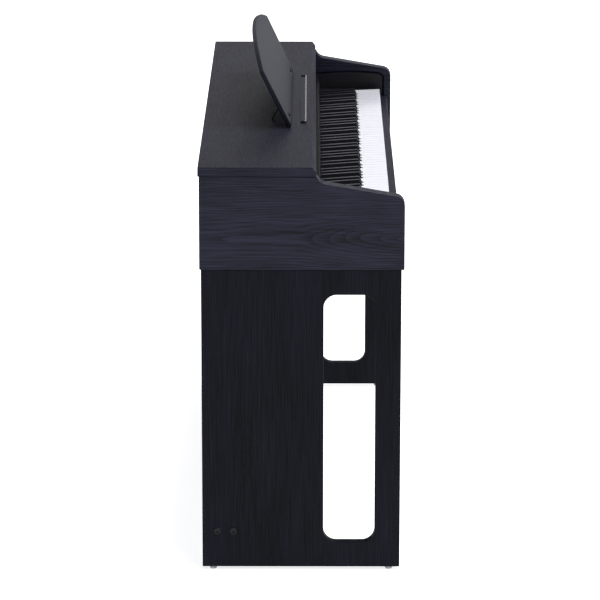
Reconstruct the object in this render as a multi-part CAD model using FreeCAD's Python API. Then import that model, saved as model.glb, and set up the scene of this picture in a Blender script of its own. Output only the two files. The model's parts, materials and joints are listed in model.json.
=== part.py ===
import FreeCAD, Part
import math
import os

# Digital piano on a two-panel stand, 88 keys, millimetres.
# Frame: X = 0 at the middle of the keyboard, +X towards the treble end, +Y towards the back,
# Z = 0 on the floor, +Z up. The player sits on the -Y side.

V = FreeCAD.Vector

# ---------------------------------------------------------------- keyboard sizes
white_pitch = 23.5
white_count = 52
key_gap = 1.0
key_length = 217.0
key_height = 24.5           # at the front
key_wall = 2.5
white_head_length = 51.0    # front part of a white key, ahead of the black keys
white_slope_deg = 2.7       # key tops fall towards the back
black_setback = 52.0        # black key's front foot behind the white key's front
black_tip_run = 7.0         # the black key's front face leans back this far
black_rise = 9.8            # black key's highest edge above the white key's front edge
black_slope_deg = 4.3
black_width = 11.0
black_top_width = 9.0
black_side_gap = 1.1
key_rear_solid = 25.0       # the rear of each key is solid, for the pivot
rod_reach = 9.0             # pivot rod into each cheek block
rod_end_gap = 1.0
white_notes = (0, 2, 4, 5, 7, 9, 11)        # places in the octave, 0 = C
black_notes = (1, 3, 6, 8, 10)
black_joints = (1, 2, 4, 5, 6)              # white keys between the left of C and each black key
black_shifts = (-2.0, 2.0, -2.9, 0.0, 2.9)  # black keys' centres from those joints
note_names = ("c", "c_sharp", "d", "d_sharp", "e", "f", "f_sharp", "g", "g_sharp", "a", "a_sharp", "b")
first_c_offset = 2          # white keys before the lowest C
middle_octave = 3           # octaves between the lowest C and middle C
lowest_note = -3            # A below the lowest C
highest_note = 84           # the top C
key_pivot_from_rear = 8.0
key_pivot_rise = 6.0        # pivot axis above the keys' undersides
key_rod_radius = 2.0
bore_clearance = 0.05       # radial, around pins, rods and shanks

# ---------------------------------------------------------------- body sizes
arm_thickness = 32.0
body_bottom_z = 622.0       # underside of the piano body, top of the stand
body_height = 206.0
board_thickness = 18.5
board_rear_overhang = 2.5
board_from_keys = 147.7     # front edge behind the white keys' fronts
board_end_inset = 1.5       # top board ends behind the arm faces
board_bevel_y = 7.3         # the front arris is cut back this far
board_bevel_z = 9.5         # and this far down
arm_slope = 0.1725          # fall of the arm's upper edge towards the front, per unit
arm_edge_drop = 30.0        # arm's upper edge below the board's top, at the board's front edge
arm_hollow_radius = 23.0    # inner curve between the board and the sloping edge
arm_nose_radius = 20.0
bed_thickness = 18.0
rear_panel_thickness = 12.0
rear_panel_inset = 3.0
rear_screw_count = 7
rear_screw_inset = 45.0     # outer screws from the arms' inner faces
slip_setback = 9.0          # key slip's front behind the arms' front
slip_thickness = 15.0
slip_below_keys = 22.5      # key slip's top below the white keys' front edge
slip_to_keys = 2.5
rail_setback = 9.3          # cross rail behind the board's front edge
rail_thickness = 12.0
rail_above_keys = 31.5
white_front_rise = 106.5    # white keys' front edge above the body's underside
cheek_gap = 1.0             # end key to cheek block
cheek_width = 33.0
cheek_below_keys = 6.5
cheek_front_gap = 0.5
cheek_plate_thickness = 3.0
cheek_plate_setback = 20.5  # upstand's front behind the arms' front
cheek_plate_radius = 10.0

# ---------------------------------------------------------------- stand sizes
leg_inset = 1.5             # leg panel faces behind the arm faces
leg_thickness = 20.0
leg_setback = 5.6           # leg panels' ends behind the board's and arms' ends
foot_height = 6.5
foot_radius = 7.0
foot_inset_y = 21.6         # foot axis from the panel's end
foot_stem_radius = 3.0
foot_stem_length = 14.0
window_from_front = 50.6    # the tall opening in each leg panel
window_width = 102.9
window_bottom_z = 59.0
window_to_top = 51.0
window_radius = 26.0
back_board_thickness = 12.0
back_board_inset = 33.9
back_board_bottom_z = 210.0
back_board_to_top = 62.0
dowel_inset = 47.9
dowel_radius = 4.0
dowel_length = 50.0

# ---------------------------------------------------------------- pedal sizes
pedal_box_inset = 11.9      # box's back from the leg panels' rear edge
pedal_box_depth = 68.0
pedal_box_bottom_z = 46.0
pedal_box_height = 70.0
pedal_box_wall = 10.0
pedal_box_end_block = 34.0
pedal_pitch = 68.0
pedal_width = 20.0
pedal_tip_width = 30.0
pedal_nose_share = 0.8       # of the half width, where the tip turns
pedal_neck = 62.0            # from the tip to where the arm starts
pedal_widest = 20.0
pedal_neck_round = 30.0
pedal_tip_round = 12.0
pedal_nose_round = 10.0
pedal_reach = 76.0          # pedal's tip in front of the box
pedal_thickness = 7.0
pedal_axis_from_rear = 22.0
pedal_axis_rise = 28.0      # axle above the box's underside
pedal_hub_radius = 7.0
pedal_axle_radius = 3.0
pedal_press_deg = 6.0
pedal_slot_clearance = 1.5
pedal_base_thickness = 3.0
pedal_bearing_gap = 28.0    # bearing wall from the outer pedal's side
adjuster_stem_radius = 4.0
adjuster_disc_radius = 16.0
bolt_from_box_rear = (18.0, 50.0)
bolt_rise = 35.0            # bolts above the box's underside
bolt_head_radius = 7.5
bolt_head_height = 3.0
bolt_head_round = 0.8
bolt_head_proud = 1.2
bolt_shank_radius = 3.0
bolt_length = 48.0

# ---------------------------------------------------------------- sliding key cover sizes
cover_axis_from_keys = 67.0 # the cover and its grooves are arcs about a line behind the keys' fronts
cover_radius = 570.0
cover_rise = 34.0           # crown of the arc above the white keys' front edge
cover_length = 167.0
cover_proud = 7.3           # front edge of the open cover ahead of the board
cover_thickness = 3.0
cover_clearance = 0.5
groove_depth = 6.0
groove_end_room = 12.5      # groove past the open cover's rear edge
cover_tongue = 4.5          # how far the cover's edge enters a groove
cover_tongue_setback = 17.0
handle_height = 18.5
handle_thickness = 8.0
handle_end_gap = 5.0

# ---------------------------------------------------------------- key action sizes
chassis_gap = 1.0           # chassis ends to cheek blocks
chassis_floor = 4.0
chassis_from_front = 5.0    # chassis front behind the white keys' fronts
stop_rail_width = 20.0
stop_rail_drop = 16.0       # stop rail below the keys' undersides
shelf_from_front = 115.0
shelf_width = 44.0
rear_rail_drop = 6.0
rear_rail_width = 44.0
rear_rail_under_keys = 24.0
cheek_rear_gap = 2.0        # cheek blocks past the chassis
spring_strip_width = 18.0
spring_sheet = 1.0
spring_tip_from_pivot = 8.0
spring_finger_width = 6.0
spring_tip_gap = 0.6
main_board_x = (-210.0, 150.0)
main_board_front_gap = 24.0
main_board_rear_gap = 14.0
main_board_standoff = 6.0
main_board_corner = 8.0
standoff_radius = 3.0
# each block on the main board: its ends along X, its gap from the board's front, depth and height
processor_block = ((-60.0, -20.0), 26.0, 40.0, 3.0)
heat_sink_block = ((20.0, 34.0), 16.0, 60.0, 22.0)
connector_block = ((80.0, 130.0), 12.0, 8.0, 9.0)
sensor_board_thickness = 1.6

# ---------------------------------------------------------------- electronics sizes
speaker_inset = 215.0       # speaker axis from the arm's inner face
speaker_hole_radius = 48.0
speaker_flange_rim = 7.0    # flange past the hole in the key bed
speaker_front_gap = 6.0     # flange to the key chassis
speaker_rear_gap = 10.0     # flange to the rear panel
speaker_depth = 44.0
speaker_magnet_radius = 26.0
speaker_wall = 2.0
grille_rim = 5.0
grille_thickness = 3.0
jack_radius = 3.25
jack_depth = 30.0
jack_pitch = 24.0
jack_box_inset = 125.0      # box's middle from the bass arm's inner face
jack_box_size = (56.0, 44.0, 22.0)
jack_box_setback = 17.5
socket_plate_x = -70.0
socket_plate_rise = 60.0
socket_plate_size = (96.0, 34.0)
socket_plate_thickness = 1.5
inlet_radius = 2.75
inlet_shift = -24.0          # from the plate's middle
pedal_socket_radius = 7.0
pedal_socket_shift = 20.0
socket_wall = 4.0            # of each socket's round barrel
barrel_depth = 24.0
socket_depth = 14.0

# ---------------------------------------------------------------- controls on the bass cheek block
power_button_back = 19.0    # control centres behind the cheek block's front
sound_button_back = 43.0
metronome_button_back = 63.0
volume_back = 107.0
power_button_radius = 6.0
small_button_radius = 4.5
button_proud = 2.5
button_depth = 7.0
button_clearance = 0.3
volume_slot = (5.0, 40.0, 6.0)
volume_cap = (11.0, 9.0, 6.0)
volume_stem = (3.0, 5.0, 5.5)
volume_cap_gap = 0.4

# ---------------------------------------------------------------- music rest sizes
rest_lean_deg = 26.0
rest_thickness = 9.5
rest_from_edge = 47.5       # where the front face would meet the board, from its front edge
rest_float = 0.8            # rounded lower edge above the board
rest_bottom_half = 303.0
rest_corner_half = 320.0
rest_corner_height = 138.0  # along the panel, from the board
rest_crown_height = 183.0
rest_notch_x = 240.0
rest_notch_width = 30.0
rest_notch_room = 0.9       # notch past the lug's furthest corner
rest_pin_radius = 2.0
rest_pin_length = 60.0
bracket_gap = 0.5           # each side of a lug
bracket_front = 5.0
bracket_rear = 8.0
bracket_base = 2.0
bracket_ear_radius = 4.4
stay_x = 210.0
stay_pivot_height = 36.0    # along the panel, from the rest's own pivot
stay_lean_deg = 26.2        # the standing stay leans back from upright
stay_width = 13.4
stay_thickness = 3.0
stay_pin_radius = 1.0
stay_pin_reach = 3.0
stay_pocket_extra = 1.2     # pocket depth past the stay's thickness
stay_pocket_gap = 0.6
stay_foot_float = 0.3
stay_axis_shift = 0.1       # stay's axis in from the middle of its pocket

# ---------------------------------------------------------------- page ledge sizes
ledge_half_length = 249.0
ledge_from_edge = 19.7      # ledge behind the board's front edge
ledge_depth = 12.6
ledge_floor = 1.0
ledge_lip_width = 3.4
ledge_lip_height = 4.0
ledge_corner_radius = 5.0

# ---------------------------------------------------------------- derived places
keyboard_half = white_count * white_pitch / 2
cheek_inner = keyboard_half + cheek_gap
arm_inner = cheek_inner + cheek_width
arm_outer = arm_inner + arm_thickness
top_z = body_bottom_z + body_height
board_bottom_z = top_z - board_thickness
keys_depth = slip_setback + slip_thickness + slip_to_keys + key_length
speaker_flange_radius = speaker_hole_radius + speaker_flange_rim
rear_space = speaker_front_gap + 2 * speaker_flange_radius + speaker_rear_gap
rear_depth = rear_space + rear_panel_thickness + rear_panel_inset + board_rear_overhang
overall_depth = keys_depth + rear_rail_width - rear_rail_under_keys + rear_depth
arm_front_y = -overall_depth / 2
board_rear_y = overall_depth / 2
arm_rear_y = board_rear_y - board_rear_overhang
leg_half_depth = overall_depth / 2 - leg_setback
bed_top_z = body_bottom_z + bed_thickness
rear_panel_rear_y = arm_rear_y - rear_panel_inset
bed_rear_y = rear_panel_rear_y - rear_panel_thickness
slip_front_y = arm_front_y + slip_setback
slip_rear_y = slip_front_y + slip_thickness
white_front_y = slip_rear_y + slip_to_keys
white_front_z = body_bottom_z + white_front_rise
board_front_y = white_front_y + board_from_keys
rail_front_y = board_front_y + rail_setback
white_fall = math.tan(math.radians(white_slope_deg))
black_front_y = white_front_y + black_setback
black_front_z = white_front_z + black_rise
black_fall = math.tan(math.radians(black_slope_deg))
key_bottom_z = white_front_z - key_height
key_rear_y = white_front_y + key_length
key_pivot_y = key_rear_y - key_pivot_from_rear
key_pivot_z = key_bottom_z + key_pivot_rise
slip_top_z = white_front_z - slip_below_keys
rail_bottom_z = white_front_z + rail_above_keys
chassis_half = cheek_inner - chassis_gap
chassis_front_y = white_front_y + chassis_from_front
chassis_rear_y = key_rear_y + rear_rail_width - rear_rail_under_keys
rear_rail_z = key_bottom_z - rear_rail_drop
shelf_z = key_bottom_z - stop_rail_drop
shelf_front_y = white_front_y + shelf_from_front
cheek_front_y = slip_rear_y + cheek_front_gap
cheek_rear_y = chassis_rear_y + cheek_rear_gap
cheek_top_z = white_front_z - cheek_below_keys
cheek_plate_front_y = arm_front_y + cheek_plate_setback
controls_x = -(cheek_inner + arm_inner - cheek_plate_thickness) / 2
groove_width = cover_thickness + 2 * cover_clearance
cover_axis_y = white_front_y + cover_axis_from_keys
cover_axis_z = white_front_z + cover_rise - cover_radius
cover_front_y = board_front_y - cover_proud
cover_open_deg = math.degrees(math.asin((cover_front_y - cover_axis_y) / cover_radius))
cover_span_deg = math.degrees(cover_length / cover_radius)
cover_rear_angle = math.radians(cover_open_deg + cover_span_deg)
groove_rear_y = cover_axis_y + cover_radius * math.sin(cover_rear_angle) + groove_end_room
speaker_x = arm_inner - speaker_inset
speaker_y = bed_rear_y - speaker_rear_gap - speaker_flange_radius
socket_plate_z = body_bottom_z + socket_plate_rise
jack_box_x = jack_box_inset - arm_inner
jack_box_front_y = arm_front_y + jack_box_setback
leg_outer = arm_outer - leg_inset
leg_inner = leg_outer - leg_thickness
leg_centre_x = (leg_outer + leg_inner) / 2
dowel_y = (dowel_inset - leg_half_depth, leg_half_depth - dowel_inset)
foot_y = (foot_inset_y - leg_half_depth, leg_half_depth - foot_inset_y)
pedal_box_rear_y = leg_half_depth - pedal_box_inset
pedal_box_front_y = pedal_box_rear_y - pedal_box_depth
pedal_box_top_z = pedal_box_bottom_z + pedal_box_height
pedal_axis_y = pedal_box_rear_y - pedal_axis_from_rear
pedal_axis_z = pedal_box_bottom_z + pedal_axis_rise
pedal_tip_y = pedal_box_front_y - pedal_reach
pedal_xs = (-pedal_pitch, 0.0, pedal_pitch)
pedal_bearing_x = pedal_pitch + pedal_width / 2 + pedal_bearing_gap
adjuster_x = pedal_pitch / 2
adjuster_y = pedal_box_rear_y - bolt_from_box_rear[1]
bolt_y = [pedal_box_rear_y - back for back in bolt_from_box_rear]
bolt_z = pedal_box_bottom_z + bolt_rise
ledge_front_y = board_front_y + ledge_from_edge
ledge_rear_y = ledge_front_y + ledge_depth
rest_face_y = board_front_y + rest_from_edge
rest_lean = math.radians(rest_lean_deg)
rest_pivot_z = top_z + rest_float + rest_thickness / 2
rest_pivot_up = (rest_pivot_z - top_z + rest_thickness / 2 * math.sin(rest_lean)) / math.cos(rest_lean)
rest_pivot_y = (rest_face_y + rest_pivot_up * math.sin(rest_lean)
                + rest_thickness / 2 * math.cos(rest_lean))
stay_pocket_depth = stay_thickness + stay_pocket_extra
stay_axis_offset = rest_thickness / 2 - stay_pocket_depth / 2 - stay_axis_shift
stay_pivot_y = rest_pivot_y + stay_pivot_height * math.sin(rest_lean) + stay_axis_offset * math.cos(rest_lean)
stay_pivot_z = rest_pivot_z + stay_pivot_height * math.cos(rest_lean) - stay_axis_offset * math.sin(rest_lean)
stay_drop = stay_pivot_z - top_z - stay_foot_float - stay_thickness / 2
stay_length = stay_drop / math.cos(math.radians(stay_lean_deg))


# ---------------------------------------------------------------- shape helpers
def block(x0, x1, y0, y1, z0, z1):
    """A box between two corners, given in any order along X."""
    low_x = min(x0, x1)
    return Part.makeBox(abs(x1 - x0), y1 - y0, z1 - z0, V(low_x, y0, z0))


def rod_x(radius, x0, x1, y, z):
    low_x = min(x0, x1)
    return Part.makeCylinder(radius, abs(x1 - x0), V(low_x, y, z), V(1, 0, 0))


def rod_y(radius, y0, y1, x, z):
    return Part.makeCylinder(radius, y1 - y0, V(x, y0, z), V(0, 1, 0))


def rod_z(radius, z0, z1, x, y):
    return Part.makeCylinder(radius, z1 - z0, V(x, y, z0), V(0, 0, 1))


def corner_arc(before, corner, after, radius):
    """The start, middle and end of a fillet of this radius at a corner, all in 2-D."""
    to_before = (before - corner).normalize()
    to_after = (after - corner).normalize()
    half = to_before.getAngle(to_after) / 2
    reach = radius / math.tan(half)
    bisector = (to_before + to_after).normalize()
    middle = corner + bisector * (radius / math.sin(half) - radius)
    return corner + to_before * reach, middle, corner + to_after * reach


def outline(points, place):
    """A closed wire through (u, v, radius) points; place turns (u, v) into a 3-D point."""
    flat = [V(u, v, 0) for u, v, radius in points]
    stretches = []
    for i, (u, v, radius) in enumerate(points):
        if radius:
            stretches.append(corner_arc(flat[i - 1], flat[i], flat[(i + 1) % len(flat)], radius))
        else:
            stretches.append((flat[i], None, flat[i]))
    edges = []
    for i, (start, middle, end) in enumerate(stretches):
        if middle is not None:
            arc = Part.Arc(place(start.x, start.y), place(middle.x, middle.y), place(end.x, end.y))
            edges.append(arc.toShape())
        following = stretches[(i + 1) % len(stretches)][0]
        edges.append(Part.makeLine(place(end.x, end.y), place(following.x, following.y)))
    return Part.Wire(edges)


def side_profile(points, x0, x1):
    """A (y, z, radius) outline, extruded along X."""
    low_x = min(x0, x1)
    wire = outline(points, lambda y, z: V(low_x, y, z))
    return Part.Face(wire).extrude(V(abs(x1 - x0), 0, 0))


def plan_profile(points, z0, z1):
    """An (x, y, radius) outline, extruded along Z."""
    wire = outline(points, lambda x, y: V(x, y, z0))
    return Part.Face(wire).extrude(V(0, 0, z1 - z0))


def front_profile(points, y0, y1):
    """An (x, z, radius) outline, extruded along Y."""
    wire = outline(points, lambda x, z: V(x, y0, z))
    return Part.Face(wire).extrude(V(0, y1 - y0, 0))


def fillet_along_x(shape, radius, y, z_low, z_high):
    """Round the edges that run along X at this Y, between two heights."""
    chosen = []
    for edge in shape.Edges:
        ends = [vertex.Point for vertex in edge.Vertexes]
        if len(ends) == 2 and abs(ends[0].y - y) < 0.01 and abs(ends[1].y - y) < 0.01:
            along_x = abs(ends[0].z - ends[1].z) < 0.01 and abs(ends[0].x - ends[1].x) > 0.01
            if along_x and z_low < ends[0].z < z_high:
                chosen.append(edge)
    return shape.makeFillet(radius, chosen)


def save(name, shape):
    """Write one sub-part, with its faces merged where they lie in one plane."""
    shape.removeSplitter().exportStep("parts/" + name + ".step")


def save_group(name, shapes):
    """Write separate solids that share one node."""
    Part.makeCompound([shape.removeSplitter() for shape in shapes]).exportStep("parts/" + name + ".step")


# ---------------------------------------------------------------- piano body
def top_board():
    end_x = arm_outer - board_end_inset
    points = [(board_rear_y, board_bottom_z, 0), (board_rear_y, top_z, 0),
              (board_front_y + board_bevel_y, top_z, 0), (board_front_y, top_z - board_bevel_z, 0),
              (board_front_y, board_bottom_z, 0)]
    return side_profile(points, -end_x, end_x)


def cover_point(x, radius, degrees):
    """A point on the cover's arcs; the angle is from straight up, towards the back."""
    angle = math.radians(degrees)
    return V(x, cover_axis_y + radius * math.sin(angle), cover_axis_z + radius * math.cos(angle))


def cover_band(inner_radius, outer_radius, x0, x1, first_deg, last_deg):
    """Part of a ring about the cover's axis, between two angles."""
    middle_deg = (first_deg + last_deg) / 2
    outer = Part.Arc(cover_point(x0, outer_radius, first_deg), cover_point(x0, outer_radius, middle_deg),
                     cover_point(x0, outer_radius, last_deg)).toShape()
    inner = Part.Arc(cover_point(x0, inner_radius, last_deg), cover_point(x0, inner_radius, middle_deg),
                     cover_point(x0, inner_radius, first_deg)).toShape()
    rear = Part.makeLine(cover_point(x0, outer_radius, last_deg), cover_point(x0, inner_radius, last_deg))
    front = Part.makeLine(cover_point(x0, inner_radius, first_deg), cover_point(x0, outer_radius, first_deg))
    return Part.Face(Part.Wire([outer, rear, inner, front])).extrude(V(x1 - x0, 0, 0))


def arched_plate(x0, x1, front_y, rear_y, low_z, radius, corner_radius):
    """A plate whose top is an arc about the cover's axis and whose front corner is round."""
    disc = rod_x(radius, x0, x1, cover_axis_y, cover_axis_z)
    high_z = cover_axis_z + radius + 1.0
    plate = disc.common(block(x0, x1, front_y, rear_y, low_z, high_z))
    return fillet_along_x(plate, corner_radius, front_y, low_z + 1.0, high_z)


def arm_groove(side):
    """The groove that the cover's edge slides in, with its front end turned down."""
    x0 = side * arm_inner
    x1 = side * (arm_inner + groove_depth)
    inner = cover_radius - groove_width / 2
    low_z = slip_top_z - groove_width
    outside = arched_plate(x0, x1, cheek_plate_front_y - groove_width, groove_rear_y, low_z,
                           inner + groove_width, cheek_plate_radius + groove_width)
    inside = arched_plate(x0, x1, cheek_plate_front_y, groove_rear_y + 1.0, low_z - 1.0,
                          inner, cheek_plate_radius)
    return outside.cut(inside)


def side_arm(side):
    """One end of the body: a thick panel whose upper edge falls away in front of the board."""
    x0 = side * arm_inner
    x1 = side * arm_outer
    hollow_z = top_z - arm_edge_drop
    front_edge_z = hollow_z - arm_slope * (board_front_y - arm_front_y)
    above = top_z + arm_hollow_radius
    points = [(arm_rear_y, body_bottom_z, 0), (arm_rear_y, above, 0), (board_front_y, above, 0),
              (board_front_y, hollow_z, arm_hollow_radius), (arm_front_y, front_edge_z, arm_nose_radius),
              (arm_front_y, body_bottom_z, 0)]
    arm = side_profile(points, x0, x1)
    arm = arm.cut(block(x0, x1, arm_front_y, arm_rear_y, board_bottom_z, above))
    arm = arm.cut(arm_groove(side))
    return arm.cut(Part.makeCompound(stand_dowels(side, bore_clearance)))


def key_bed():
    bed = block(-arm_inner, arm_inner, slip_rear_y, bed_rear_y, body_bottom_z, bed_top_z)
    for side in (-1, 1):
        bed = bed.cut(rod_z(speaker_hole_radius, body_bottom_z, bed_top_z, side * speaker_x, speaker_y))
    return bed.cut(Part.makeCompound([rear_screw(x, bore_clearance) for x in rear_screw_places()]))


def key_slip():
    round_front = 4.0
    points = [(slip_rear_y, body_bottom_z, 0), (slip_rear_y, slip_top_z, 1.0),
              (slip_front_y, slip_top_z, round_front), (slip_front_y, body_bottom_z, 0)]
    return side_profile(points, -arm_inner, arm_inner)


def rear_panel():
    panel = block(-arm_inner, arm_inner, bed_rear_y, rear_panel_rear_y, body_bottom_z, board_bottom_z)
    panel = panel.cut(Part.makeCompound(socket_barrels(bore_clearance)))
    return panel.cut(Part.makeCompound([rear_screw(x, bore_clearance) for x in rear_screw_places()]))


def rear_screw_places():
    reach = arm_inner - rear_screw_inset
    return [reach * (2 * i / (rear_screw_count - 1) - 1) for i in range(rear_screw_count)]


def rear_screw(x, extra=0.0):
    """A pan-head screw through the rear panel into the key bed."""
    shank_radius = 1.8
    head_radius = 4.5
    head_height = 2.2
    rear = rear_panel_rear_y
    mid_z = body_bottom_z + bed_thickness / 2
    shank = rod_y(shank_radius + extra, rear - 32.0, rear, x, mid_z)
    return shank.fuse(rod_y(head_radius, rear, rear + head_height, x, mid_z))


def front_rail():
    """The cross rail under the front edge of the top board, above the key cover."""
    return block(-arm_inner, arm_inner, rail_front_y, rail_front_y + rail_thickness,
                 rail_bottom_z, board_bottom_z)


def cheek_block(side):
    """Moulded block between the end key and the arm, with an upstand below the cover's groove."""
    under_cover = rod_x(cover_radius - groove_width / 2, side * cheek_inner, side * arm_inner,
                        cover_axis_y, cover_axis_z)
    low = block(side * cheek_inner, side * arm_inner, cheek_front_y, cheek_rear_y,
                bed_top_z, cheek_top_z).common(under_cover)
    plate = arched_plate(side * (arm_inner - cheek_plate_thickness), side * arm_inner,
                         cheek_plate_front_y, cheek_rear_y, slip_top_z,
                         cover_radius - groove_width / 2, cheek_plate_radius)
    cheek = low.fuse(plate)
    rod_end = side * (cheek_inner + rod_reach + rod_end_gap)
    return cheek.cut(rod_x(key_rod_radius + bore_clearance, side * keyboard_half, rod_end,
                           key_pivot_y, key_pivot_z))


def left_cheek_block():
    """The bass cheek block, which also carries the push buttons and the volume slider."""
    cheek = cheek_block(-1)
    push_room = 2.0
    floor_z = cheek_top_z - button_depth - push_room
    wells = [(power_button_back, power_button_radius), (sound_button_back, small_button_radius),
             (metronome_button_back, small_button_radius)]
    for back, radius in wells:
        cheek = cheek.cut(rod_z(radius + button_clearance, floor_z, cheek_top_z,
                                controls_x, cheek_front_y + back))
    width, length, depth = volume_slot
    y = cheek_front_y + volume_back
    return cheek.cut(block(controls_x - width / 2, controls_x + width / 2, y - length / 2, y + length / 2,
                           cheek_top_z - depth, cheek_top_z))


def push_button(back, radius):
    """A round push button with a softly domed top."""
    stem = rod_z(radius, cheek_top_z - button_depth, cheek_top_z + button_proud,
                 controls_x, cheek_front_y + back)
    top_edges = [edge for edge in stem.Edges
                 if len(edge.Vertexes) == 1 and edge.Vertexes[0].Z > cheek_top_z]
    return stem.makeFillet(1.0, top_edges)


def volume_slider():
    """A ridged cap on a stem that runs in the slot of the bass cheek block."""
    x = controls_x
    y = cheek_front_y + volume_back
    cap_x, cap_y, cap_z = volume_cap
    stem_x, stem_y, stem_z = volume_stem
    cap_bottom = cheek_top_z + volume_cap_gap
    points = [(y - cap_y / 2, cap_bottom, 0), (y + cap_y / 2, cap_bottom, 0),
              (y + cap_y / 4, cap_bottom + cap_z, 1.0), (y - cap_y / 4, cap_bottom + cap_z, 1.0)]
    cap = side_profile(points, x - cap_x / 2, x + cap_x / 2)
    return cap.fuse(block(x - stem_x / 2, x + stem_x / 2, y - stem_y / 2, y + stem_y / 2,
                          cap_bottom - stem_z, cap_bottom))


# ---------------------------------------------------------------- sliding key cover
def key_cover():
    inner = cover_radius - cover_thickness / 2
    outer = cover_radius + cover_thickness / 2
    half = arm_inner - cover_clearance
    reach = arm_inner + cover_tongue
    last = cover_open_deg + cover_span_deg
    sheet = cover_band(inner, outer, -half, half, cover_open_deg, last)
    setback_deg = math.degrees(cover_tongue_setback / cover_radius)
    return sheet.fuse(cover_band(inner, outer, -reach, reach, cover_open_deg + setback_deg, last))


def key_cover_handle():
    """The grip bar under the front edge of the key cover."""
    outer = cover_radius - cover_thickness / 2
    half = arm_inner - cheek_plate_thickness - handle_end_gap
    span_deg = math.degrees(handle_thickness / cover_radius)
    return cover_band(outer - handle_height, outer, -half, half, cover_open_deg, cover_open_deg + span_deg)


# ---------------------------------------------------------------- keys
def octave_left(octave):
    return -keyboard_half + (first_c_offset + 7 * octave) * white_pitch


def black_centre(octave, note):
    place = black_notes.index(note)
    return octave_left(octave) + black_joints[place] * white_pitch + black_shifts[place]


def key_bore(x0, x1):
    return rod_x(key_rod_radius + bore_clearance, x0, x1, key_pivot_y, key_pivot_z)


def white_side(inset, low_z):
    """Side outline of a white key, or of its hollow when inset from the faces."""
    rear = key_rear_y - (key_rear_solid if inset else 0.0)
    rear_z = white_front_z - (rear - white_front_y) * white_fall
    front = white_front_y + inset
    return [(front, low_z, 0), (rear, low_z, 0), (rear, rear_z - inset, 0),
            (front, white_front_z - inset * white_fall - inset, 0)]


def white_key(octave, note, has_left_black, has_right_black):
    left = octave_left(octave) + white_notes.index(note) * white_pitch + key_gap / 2
    right = left + white_pitch - key_gap
    key = side_profile(white_side(0, key_bottom_z), left, right)
    head_rear = white_front_y + white_head_length
    reach = black_width / 2 + black_side_gap
    tail_left = left
    tail_right = right
    if has_left_black:
        tail_left = black_centre(octave, note - 1) + reach
    if has_right_black:
        tail_right = black_centre(octave, note + 1) - reach
    for x0, x1 in ((left, tail_left), (tail_right, right)):
        if x1 > x0:
            key = key.cut(block(x0, x1, head_rear, key_rear_y, key_bottom_z, white_front_z))
    hollow = side_profile(white_side(key_wall, key_bottom_z), tail_left + key_wall, tail_right - key_wall)
    key = key.cut(hollow)
    return key.cut(key_bore(left, right))


def black_key(octave, note):
    """A tapered black key with a leaning front face."""
    centre = black_centre(octave, note)
    tip_y = black_front_y + black_tip_run
    shoulder_z = white_front_z - (black_front_y - white_front_y) * white_fall - 2.0
    rear_z = black_front_z - (key_rear_y - tip_y) * black_fall
    side = [(black_front_y, key_bottom_z, 0), (key_rear_y, key_bottom_z, 0), (key_rear_y, rear_z, 0),
            (tip_y, black_front_z, 1.5), (black_front_y, shoulder_z, 0)]
    half = black_width / 2
    top_half = black_top_width / 2
    front = [(centre - half, key_bottom_z, 0), (centre + half, key_bottom_z, 0),
             (centre + half, shoulder_z - 4.0, 0), (centre + top_half, black_front_z + 1, 0),
             (centre - top_half, black_front_z + 1, 0), (centre - half, shoulder_z - 4.0, 0)]
    key = side_profile(side, centre - half, centre + half)
    key = key.common(front_profile(front, black_front_y, key_rear_y))
    hollow = block(centre - half + key_wall, centre + half - key_wall, black_front_y + key_wall,
                   key_rear_y - key_rear_solid, key_bottom_z, rear_z - key_wall * 2)
    key = key.cut(hollow)
    return key.cut(key_bore(centre - half, centre + half))


def keys_between(first_octave, first_note, last_octave, last_note):
    """White and black keys of a run of notes, both ends included."""
    whites = {}
    blacks = {}
    for number in range(first_octave * 12 + first_note, last_octave * 12 + last_note + 1):
        octave, note = divmod(number, 12)
        if note in white_notes:
            is_lowest = number == lowest_note
            is_highest = number == highest_note
            left_black = note - 1 in black_notes and not is_lowest
            right_black = note + 1 in black_notes and not is_highest
            whites[number] = white_key(octave, note, left_black, right_black)
        else:
            blacks[number] = black_key(octave, note)
    return whites, blacks


def save_keys():
    middle_first = middle_octave * 12
    bass_white, bass_black = keys_between(-1, 9, middle_octave - 1, 11)
    save_group("white_keys_bass", list(bass_white.values()))
    save_group("black_keys_bass", list(bass_black.values()))
    treble_white, treble_black = keys_between(middle_octave + 1, 0, 7, 0)
    save_group("white_keys_treble", list(treble_white.values()))
    save_group("black_keys_treble", list(treble_black.values()))
    middle_white, middle_black = keys_between(middle_octave, 0, middle_octave, 11)
    for number, key in {**middle_white, **middle_black}.items():
        save("key_" + note_names[number - middle_first], key)


# ---------------------------------------------------------------- key action
def key_chassis():
    """The moulded frame under the keys: a front stop rail, a sensor shelf and a rear rail."""
    floor_top = bed_top_z + chassis_floor
    rear_rail_front = chassis_rear_y - rear_rail_width
    shelf_rear = shelf_front_y + shelf_width
    stop_front = chassis_front_y + chassis_floor
    stop_rear = stop_front + stop_rail_width
    points = [(chassis_front_y, bed_top_z, 0), (chassis_rear_y, bed_top_z, 0),
              (chassis_rear_y, rear_rail_z, 0), (rear_rail_front, rear_rail_z, 0),
              (rear_rail_front, floor_top, 0), (shelf_rear, floor_top, 0), (shelf_rear, shelf_z, 0),
              (shelf_front_y, shelf_z, 0), (shelf_front_y, floor_top, 0), (stop_rear, floor_top, 0),
              (stop_rear, shelf_z, 0), (stop_front, shelf_z, 0), (stop_front, floor_top, 0),
              (chassis_front_y, floor_top, 0)]
    return side_profile(points, -chassis_half, chassis_half)


def key_pivot_rod():
    reach = cheek_inner + rod_reach
    return rod_x(key_rod_radius, -reach, reach, key_pivot_y, key_pivot_z)


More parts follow.
